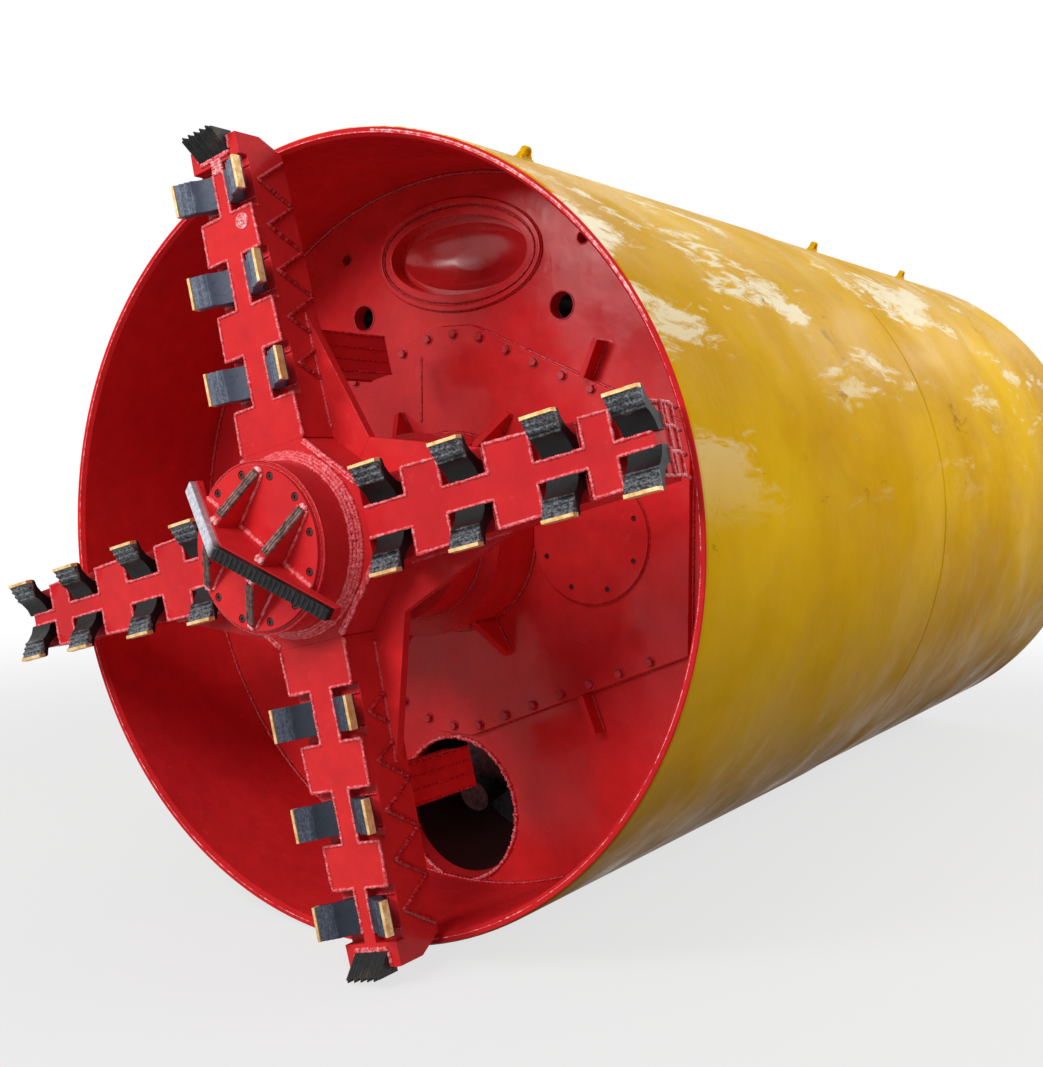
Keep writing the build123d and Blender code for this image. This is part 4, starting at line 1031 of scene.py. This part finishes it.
fin_foot = Vector((530, panel_edge(530) + 2))
fin_top = fin_foot + Vector((PANEL_SLOPE, 1)).normalized() * 130
fin_half = Vector((1, -PANEL_SLOPE)).normalized() * 10
for x_sign in (-1, 1):
    for z_sign in (-1, 1):
        for flank in (-1, 1):
            ends = (fin_foot + fin_half * flank, fin_top + fin_half * flank)
            bead(bulk_welds, [at(x_sign * p.x, BULKHEAD - 2, z_sign * p.y) for p in ends], 4.5)
for x, z, radius in ((PORT_X, PORT_Z, 46), (SMALL_PORT_X, SMALL_PORT_Z, 21)):
    for sign in (-1, 1):
        bead(bulk_welds, circle(at(sign * x, BULKHEAD - 1, z), FORWARD, radius, 40), 2.6, True)
for x in (-COVER_X, COVER_X):
    bead(bulk_welds, circle(at(x, PANEL - 1, 0), FORWARD, 213, 100), 2.6, True)
bulk_welds.emit("bulkhead_welds", DULL_WELD, "front_shield")

# A rough weld round the screw's mouth, as far as the mouth lies inside the shell
MOUTH_REACH = 1214.0
mouth_welds = Shape()
mouth = oval(BULKHEAD - 2, SCREW_Z, 243, 251, 120)
mouth = [p for p in mouth if (p - at(0, BULKHEAD - 2, 0)).length < MOUTH_REACH / 1000]
start = max(range(len(mouth)), key=lambda i: (mouth[i] - mouth[i - 1]).length)
bead(mouth_welds, mouth[start:] + mouth[:start], 7.5, waves=0.3, rough=0.6, pitch=11)
mouth_welds.emit("screw_mouth_weld", WELD, "front_shield")

# Bolts: the panel's edges, the round covers
BOLT_STEP = 0.095 * SHIELD_RADIUS / sqrt(1 + PANEL_SLOPE ** 2)
BOLTS_END = 840
COVER_BOLT_RING = 175
panel_bolts = Shape()
bolt_places = [0.0]
x = BOLT_STEP
while x < BOLTS_END:
    bolt_places.extend((x, -x))
    x += BOLT_STEP
for z_sign in (-1, 1):
    for x in bolt_places:
        foot = at(x, PANEL, z_sign * (panel_edge(x) - 26))
        hex_bolt(panel_bolts, foot, FORWARD, 15, 14, 0.3 * x)
panel_bolts.emit("panel_bolts", BOLT_RED, "front_shield")

# Near-black socket bolts on the covers: painted shade for sunk holes
cover_bolts = Shape()
for x in (-COVER_X, COVER_X):
    for i in range(8):
        a = radians(22.5 + 45 * i)
        foot = at(x + COVER_BOLT_RING * cos(a), PANEL - 7, COVER_BOLT_RING * sin(a))
        socket_screw(cover_bolts, foot, FORWARD, 7.5, 4.0)
cover_bolts.emit("drive_cover_bolts", SHADED_SOCKET, "front_shield")


# Pad-eye welds and the rim's bead

def pad_welds(radius, stations, half):
    """Runs along the feet of a shield's pad-eyes."""
    welds = Shape()
    for station in stations:
        for turn in (70, 110):
            for side in (-11, 11):
                bead(welds, line(on_spoke, turn, radius, side, (half - station, -half - station)), 5.0)
    return welds


front_pads = pad_welds(SHIELD_RADIUS, (375,), 35)
front_pads.emit("front_pad_welds", YELLOW_WELD, "front_shield", "yellow_paint")
rear_pads = pad_welds(REAR_RADIUS, (2700, 3900), 36)
rear_pads.emit("rear_pad_welds", YELLOW_WELD, "rear_shield", "yellow_paint")

# The rim's bead in near-white weld paint, thicker on the upper right: painted highlight along the rim
rim_weld = Shape()
bead(rim_weld, hoop(1231, 2, 300), 2.4, True, waves=0.1, rough=0.2, pitch=9)
bead(rim_weld, hoop(1236, 1, 90, 30, 84), 3.4, waves=0.1, rough=0.3, pitch=12)
rim_weld.emit("rim_bead", HIGHLIGHT_WELD, "front_shield")

# Drive behind the bulkhead: the gear case's bolts, the motors' flanges and ports
LOBE_BOLTS = 222
CASE_BOLTS = 450
# Metres back from the rim
MOTOR_FLANGE = 1.102
MOTOR_BACK = 1.522
drive_bolts = Shape()
for sign in (-1, 1):
    for i in range(9):
        a = radians(-90 + 22.5 * i)
        foot = at(sign * (COVER_X + LOBE_BOLTS * cos(a)), GEAR_BACK, LOBE_BOLTS * sin(a))
        hex_bolt(drive_bolts, foot, BACK, 8, 11, 0.4 * i)
    for i in range(7):
        a = radians(36 + 18 * i)
        foot = at(CASE_BOLTS * cos(a), GEAR_BACK, sign * CASE_BOLTS * sin(a))
        hex_bolt(drive_bolts, foot, BACK, 11, 14, 0.4 * i)
    motor = at(sign * COVER_X, 0, 0)
    bolt_circle(drive_bolts, motor + BACK * MOTOR_FLANGE, BACK, 191, 8, 8, 12, 0.3)
    bolt_circle(drive_bolts, motor + BACK * MOTOR_BACK, BACK, 143, 6, 7, 9)
    for x in (-68, 68):
        for station in (1262, 1432):
            socket_screw(drive_bolts, at(sign * COVER_X + x, station, 240), UP, 6, 6)
    for x in (-45, 0, 45):
        union = ((13, 0), (13, 9), (9, 9), (9, 24), (6, 27))
        lathe(drive_bolts, at(sign * COVER_X + x, 1452, 182), BACK, union, 6)
drive_bolts.emit("drive_bolts", BRIGHT, "front_shield", "bright_steel")

# Lids on the motors and plugs on the gear case's back
PLUG_RING = 300
drive_lids = Shape()
for x in (-COVER_X, COVER_X):
    box(drive_lids, (x - 80, x + 80), (1247, 1447), (235, 240))
    ring(drive_lids, at(x, 1632, 0), BACK, ((34, -1), (34, 12), (20, 16), (0.5, 16), (0.5, -1)), 32)
for i in range(24):
    a = radians(15 * i)
    # none stands where the motors are
    if abs(sin(a)) > 0.62:
        foot = at(PLUG_RING * cos(a), GEAR_BACK, PLUG_RING * sin(a))
        ring(drive_lids, foot, BACK, ((15, -1), (15, 5), (0.5, 5), (0.5, -1)), 12)
middle_lid = ((150, -1), (150, 16), (136, 24), (0.5, 24), (0.5, -1))
ring(drive_lids, at(0, GEAR_BACK, 0), BACK, middle_lid, 72)
drive_lids.emit("drive_lids", GREY, "front_shield", "grey_paint")

# Screw casing: bolted flange pairs, and the bolts of its drive, with places in metres along it
FLANGE_PLACES = (0.95, 1.75, 2.5)
FLANGE_THICKNESS = 0.017
# place, radius, count, and the bolts' own radius and height
DRIVE_CIRCLES = ((3.53, 270, 16, 12, 15), (3.6, 168, 10, 9, 11), (3.86, 104, 8, 8, 10))
SCREW_OUT = Vector((0, cos(SCREW_SLOPE), sin(SCREW_SLOPE)))
screw_foot = at(0, BULKHEAD, SCREW_Z)
casing_flanges = Shape()
screw_bolts = Shape()
for place in FLANGE_PLACES:
    center = screw_foot + SCREW_OUT * place
    for low in (-17, 1):
        outline = ((249, low), (278, low), (278, low + 16), (249, low + 16))
        ring(casing_flanges, center, SCREW_OUT, outline, 72)
    for way in (SCREW_OUT, -SCREW_OUT):
        bolt_circle(screw_bolts, center + way * FLANGE_THICKNESS, way, 264, 16, 6.5, 9)
for place, radius, count, size, height in DRIVE_CIRCLES:
    bolt_circle(screw_bolts, screw_foot + SCREW_OUT * place, SCREW_OUT, radius, count, size, height)
casing_flanges.emit("casing_flanges", GREY, "front_shield", "grey_paint")
screw_bolts.emit("screw_bolts", BRIGHT, "front_shield", "bright_steel")

# Bushes in the steering rods' rear eyes, on the circle of the clevis pins
PIN_STATION = 2040
PIN_CIRCLE = 930.5
BUSH = ((31.3, -29), (41.8, -29), (41.8, 29), (31.3, 29))
for number, (x_sign, z_sign) in enumerate(((1, 1), (-1, -1), (-1, 1), (1, -1)), start=1):
    bush = Shape()
    radial = Vector((x_sign, 0, z_sign)).normalized()
    across = Vector((-z_sign, 0, x_sign)).normalized()
    ring(bush, at(0, PIN_STATION, 0) + radial * (PIN_CIRCLE / 1000), across, BUSH, 48)
    bush.emit(f"rod_{number}_bush", DARK_STEEL, f"rod_{number}", "bright_steel")

# Control cabinet: hinges, locks, lamps and buttons on its doors, and louvres
CABINET_FACE = 395.0
cabinet_fittings = Shape()
for station in (2572, 3148):
    for z in (-660, -420, -180):
        lathe(cabinet_fittings, at(CABINET_FACE - 3, station, z - 32), UP, ((7, 0), (7, 64)), 12)
for station in (2821, 2899):
    lathe(cabinet_fittings, at(373, station, -400), -RIGHT, ((9, -1), (9, 3), (4, 3), (4, 1)), 16)
for i in range(4):
    for z, radius in ((-150, 13), (-196, 11)):
        knob = ((radius, -1), (radius, 5), (radius * 0.7, 8))
        lathe(cabinet_fittings, at(CABINET_FACE, 2960 + 48 * i, z), -RIGHT, knob, 20)
cabinet_fittings.emit("cabinet_fittings", BRIGHT, "rear_shield", "bright_steel")

louvres = Shape()
for station in (2713.5, 3006.5):
    for i in range(7):
        low = -700 + 20 * i
        block(
            louvres, [(CABINET_FACE + 1, low), (CABINET_FACE - 8, low), (CABINET_FACE + 1, low + 13)],
            lambda x, z: at(x, station - 95, z), lambda x, z: at(x, station + 95, z),
        )
louvres.emit("cabinet_louvres", LIGHT, "rear_shield", "light_paint")

# Hydraulic tank: hatch bolts, filler cap, sight glass and drain
TANK_X = -601
CAP_STATION = 2670
CAP_RADIUS = 49
GLASS_STATION = 3096
DRAIN_STATION = 2640
tank_fittings = Shape()
bolt_circle(tank_fittings, at(-387, 2860, -520), RIGHT, 113, 10, 8, 10)
bolt_circle(tank_fittings, at(TANK_X, 2860, -164), UP, 58, 6, 6, 8)
for i in range(24):
    a = radians(15 * i)
    foot = at(TANK_X + CAP_RADIUS * cos(a), CAP_STATION + CAP_RADIUS * sin(a), -222)
    lathe(tank_fittings, foot, UP, ((3.5, 0), (3.5, 22)), 6)
lathe(tank_fittings, at(TANK_X, CAP_STATION, -199), UP, ((44, 0), (40, 7)), 32)
lathe(tank_fittings, at(-392, GLASS_STATION, -690), UP, ((6, 0), (6, 290)), 16)
for z in (-700, -400):
    box(tank_fittings, (-402, -380), (GLASS_STATION - 12, GLASS_STATION + 12), (z - 10, z + 14))
lathe(tank_fittings, at(-401, DRAIN_STATION, -730), RIGHT, ((22, -1), (22, 8), (15, 8)), 12)
lathe(tank_fittings, at(-393, DRAIN_STATION, -730), RIGHT, ((14, 0), (14, 12)), 6)
tank_fittings.emit("tank_fittings", BRIGHT, "rear_shield", "bright_steel")

# Rigid pipes from the tank along the rear shield's wall, in clamps
PIPE_LEVEL = -118
PIPE_SPACING = 46
TANK_SIDE = -700
WALL_SIDE = -1150
pipes = Shape()
clamps = Shape()
for shift in (0, PIPE_SPACING):
    level = PIPE_LEVEL + shift
    wall = -sqrt(REAR_BORE ** 2 - level ** 2)
    for start, end in ((3040, 2500), (3100, 4170)):
        rearward = end > start
        foot = start + shift if rearward else start - shift
        corners = ((TANK_SIDE, foot, -262), (TANK_SIDE, foot, level), (WALL_SIDE, foot, level))
        route = [at(*corner) for corner in corners] + [at(WALL_SIDE, end, level)]
        bead(pipes, rounded(route, 40), 11, sides=12, waves=0.0, rough=0.0, pitch=40)
        lathe(pipes, at(TANK_SIDE, foot, -260), UP, ((19, 0), (19, 22), (15, 26)), 6)
        step = 380 if rearward else -260
        station = foot + step / 2
        while min(foot, end) < station < max(foot, end):
            box(clamps, (wall - 1, -1134), (station - 18, station + 18), (level - 17, level + 17))
            station += step
        way = BACK if rearward else FORWARD
        lathe(pipes, at(WALL_SIDE, end, level), way, ((17, -26), (17, 0), (13, 4)), 6)
pipes.emit("rear_pipes", BRIGHT, "rear_shield", "bright_steel")
clamps.emit("rear_pipe_clamps", BLACK, "rear_shield", "grey_paint")

# Raised lozenges on the deck, but not under the cabinet and the tank
TREAD_STEP = 40
TREAD_FOOT = -780.2
TREAD_TOP = -778.2
tread = Shape()
for row in range(43):
    for column in range(46):
        x = -900 + TREAD_STEP * column
        station = 2504 + TREAD_STEP * row
        if 2530 < station < 3190 and abs(x) > 385:
            continue
        lean = 1 if (row + column) % 2 else -1
        long, wide = Vector((lean * 12.0, 12.0)), Vector((lean * 3.0, -3.0))
        ends = [long, wide, -long, -wide]
        points = [at(x + p.x, station + p.y, TREAD_FOOT) for p in ends]
        points += [at(x + p.x * 0.7, station + p.y * 0.7, TREAD_TOP) for p in ends]
        tread.add(points, [(4, 5, 6, 7), (0, 1, 5, 4), (1, 2, 6, 5), (2, 3, 7, 6), (3, 0, 4, 7)])
tread.emit("deck_tread", GREY, "rear_shield", "grey_paint")

# Stub pipes behind the bulkhead's ports
stubs = Shape()
for x, z, bore in ((PORT_X, PORT_Z, 42), (SMALL_PORT_X, SMALL_PORT_Z, 18)):
    wall, flange = bore + 7, bore + 22
    outline = ((bore, 0), (wall, 0), (wall, 230), (flange, 230), (flange, 250), (bore, 250))
    for sign in (-1, 1):
        ring(stubs, at(sign * x, 662, z), BACK, outline, 40)
stubs.emit("port_stubs", BLACK, "front_shield", "grey_paint")


# Light, background, floor and camera

# name, place, aim, size and power of each lamp
LAMPS = (
    ("key", (-3.6, -11.0, 4.5), (0.0, -1.6, 1.2), (3.4, 1.9), 470),
    ("front", (0.6, -9.0, 7.2), (0.0, -1.6, 1.0), (4.0, 3.0), 370),
    ("sky", (-1.5, 7.5, 7.8), (0.5, -1.9, 2.2), (5.0, 2.0), 130),
    ("right", (6.6, 1.6, 4.6), (0.6, 0.0, 1.2), (3.0, 2.0), 230),
    ("back", (2.4, 9.0, 5.6), (0.6, 0.0, 1.6), (3.0, 2.4), 90),
)
WORLD_LIGHT = 0.3
FLOOR_HALF = 60
FLOOR_GREY = (0.45, 0.45, 0.45, 1)
# The floor's white grows from this share to all of it between two distances from the middle
FADE_SHARE = 0.72
FADE_START = 3.0
FADE_END = 7.5


def lamp(name, place, aim, size, power):
    data = bpy.data.lights.new(name, "AREA")
    data.shape = "RECTANGLE"
    data.size, data.size_y = size
    data.energy = power
    made = bpy.data.objects.new(name, data)
    made.location = place
    made.rotation_euler = (Vector(aim) - Vector(place)).to_track_quat("-Z", "Y").to_euler()
    bpy.context.scene.collection.objects.link(made)


def watched(tree):
    """1 where the camera looks, straight or by way of a reflection or glass, and else 0."""
    rays = tree.nodes.new("ShaderNodeLightPath").outputs
    seen = rays["Is Camera Ray"]
    for kind in ("Is Glossy Ray", "Is Transmission Ray"):
        either = tree.nodes.new("ShaderNodeMath")
        either.operation = "MAXIMUM"
        tree.links.new(seen, either.inputs[0])
        tree.links.new(rays[kind], either.inputs[1])
        seen = either.outputs[0]
    return seen


def white_world():
    """White to look at, and a dimmer light on the object."""
    world = bpy.data.worlds.new("white")
    world.use_nodes = True
    tree = world.node_tree
    level = tree.nodes.new("ShaderNodeMapRange")
    level.inputs["To Min"].default_value = WORLD_LIGHT
    level.inputs["To Max"].default_value = 1.0
    background = tree.nodes["Background"]
    background.inputs["Color"].default_value = (1, 1, 1, 1)
    tree.links.new(watched(tree), level.inputs["Value"])
    tree.links.new(level.outputs["Result"], background.inputs["Strength"])
    bpy.context.scene.world = world


def pale_floor():
    """Grey that keeps the object's shadow, fading to white away from the object."""
    finish = Finish("pale_floor", specular=0.1)
    finish.shader.inputs["Base Color"].default_value = FLOOR_GREY
    finish.shader.inputs["Roughness"].default_value = 0.9
    x, y, z = finish.split()
    far = finish.band(finish.length(x, y), FADE_START, FADE_END, FADE_SHARE, 1.0)
    far.node.interpolation_type = "SMOOTHSTEP"
    glow = finish.add("ShaderNodeEmission", Strength=1.0)
    mixed = finish.nodes.new("ShaderNodeMixShader")
    finish.feed(mixed.inputs[0], finish.times(watched(finish.material.node_tree), far))
    finish.feed(mixed.inputs[1], finish.shader.outputs[0])
    finish.feed(mixed.inputs[2], glow.outputs[0])
    finish.feed(finish.nodes["Material Output"].inputs["Surface"], mixed.outputs[0])
    return finish.material


for name, place, aim, size, power in LAMPS:
    lamp(name, place, aim, size, power)
white_world()

floor_corners = [(x * FLOOR_HALF, y * FLOOR_HALF, 0) for x, y in ((-1, -1), (1, -1), (1, 1), (-1, 1))]
floor_mesh = bpy.data.meshes.new("floor")
floor_mesh.from_pydata(floor_corners, [], [(0, 1, 2, 3)])
floor_mesh.materials.append(pale_floor())
floor = bpy.data.objects.new("floor", floor_mesh)
bpy.context.scene.collection.objects.link(floor)

# The camera's place, lens and turns, as fitted to the photograph
CAMERA_PLACE = (2.80475, -5.17275, 1.542625)
FOCAL_LENGTH = 46.05
SENSOR_WIDTH = 36.0
YAW = radians(33.94)
PITCH = radians(-3.66)
ROLL = radians(0.08)
forward = Vector((-sin(YAW) * cos(PITCH), cos(YAW) * cos(PITCH), sin(PITCH)))
right = Vector((cos(YAW), sin(YAW), 0))
above = right.cross(forward)
turned = Matrix((right, above, -forward)).transposed().to_4x4()
lens = bpy.data.cameras.new("camera")
lens.lens = FOCAL_LENGTH
lens.sensor_width = SENSOR_WIDTH
lens.clip_end = 200.0
camera = bpy.data.objects.new("camera", lens)
bpy.context.scene.collection.objects.link(camera)
camera.matrix_world = Matrix.Translation(CAMERA_PLACE) @ turned @ Matrix.Rotation(ROLL, 4, "Z")
bpy.context.scene.camera = camera

bpy.context.scene.view_settings.view_transform = "Standard"
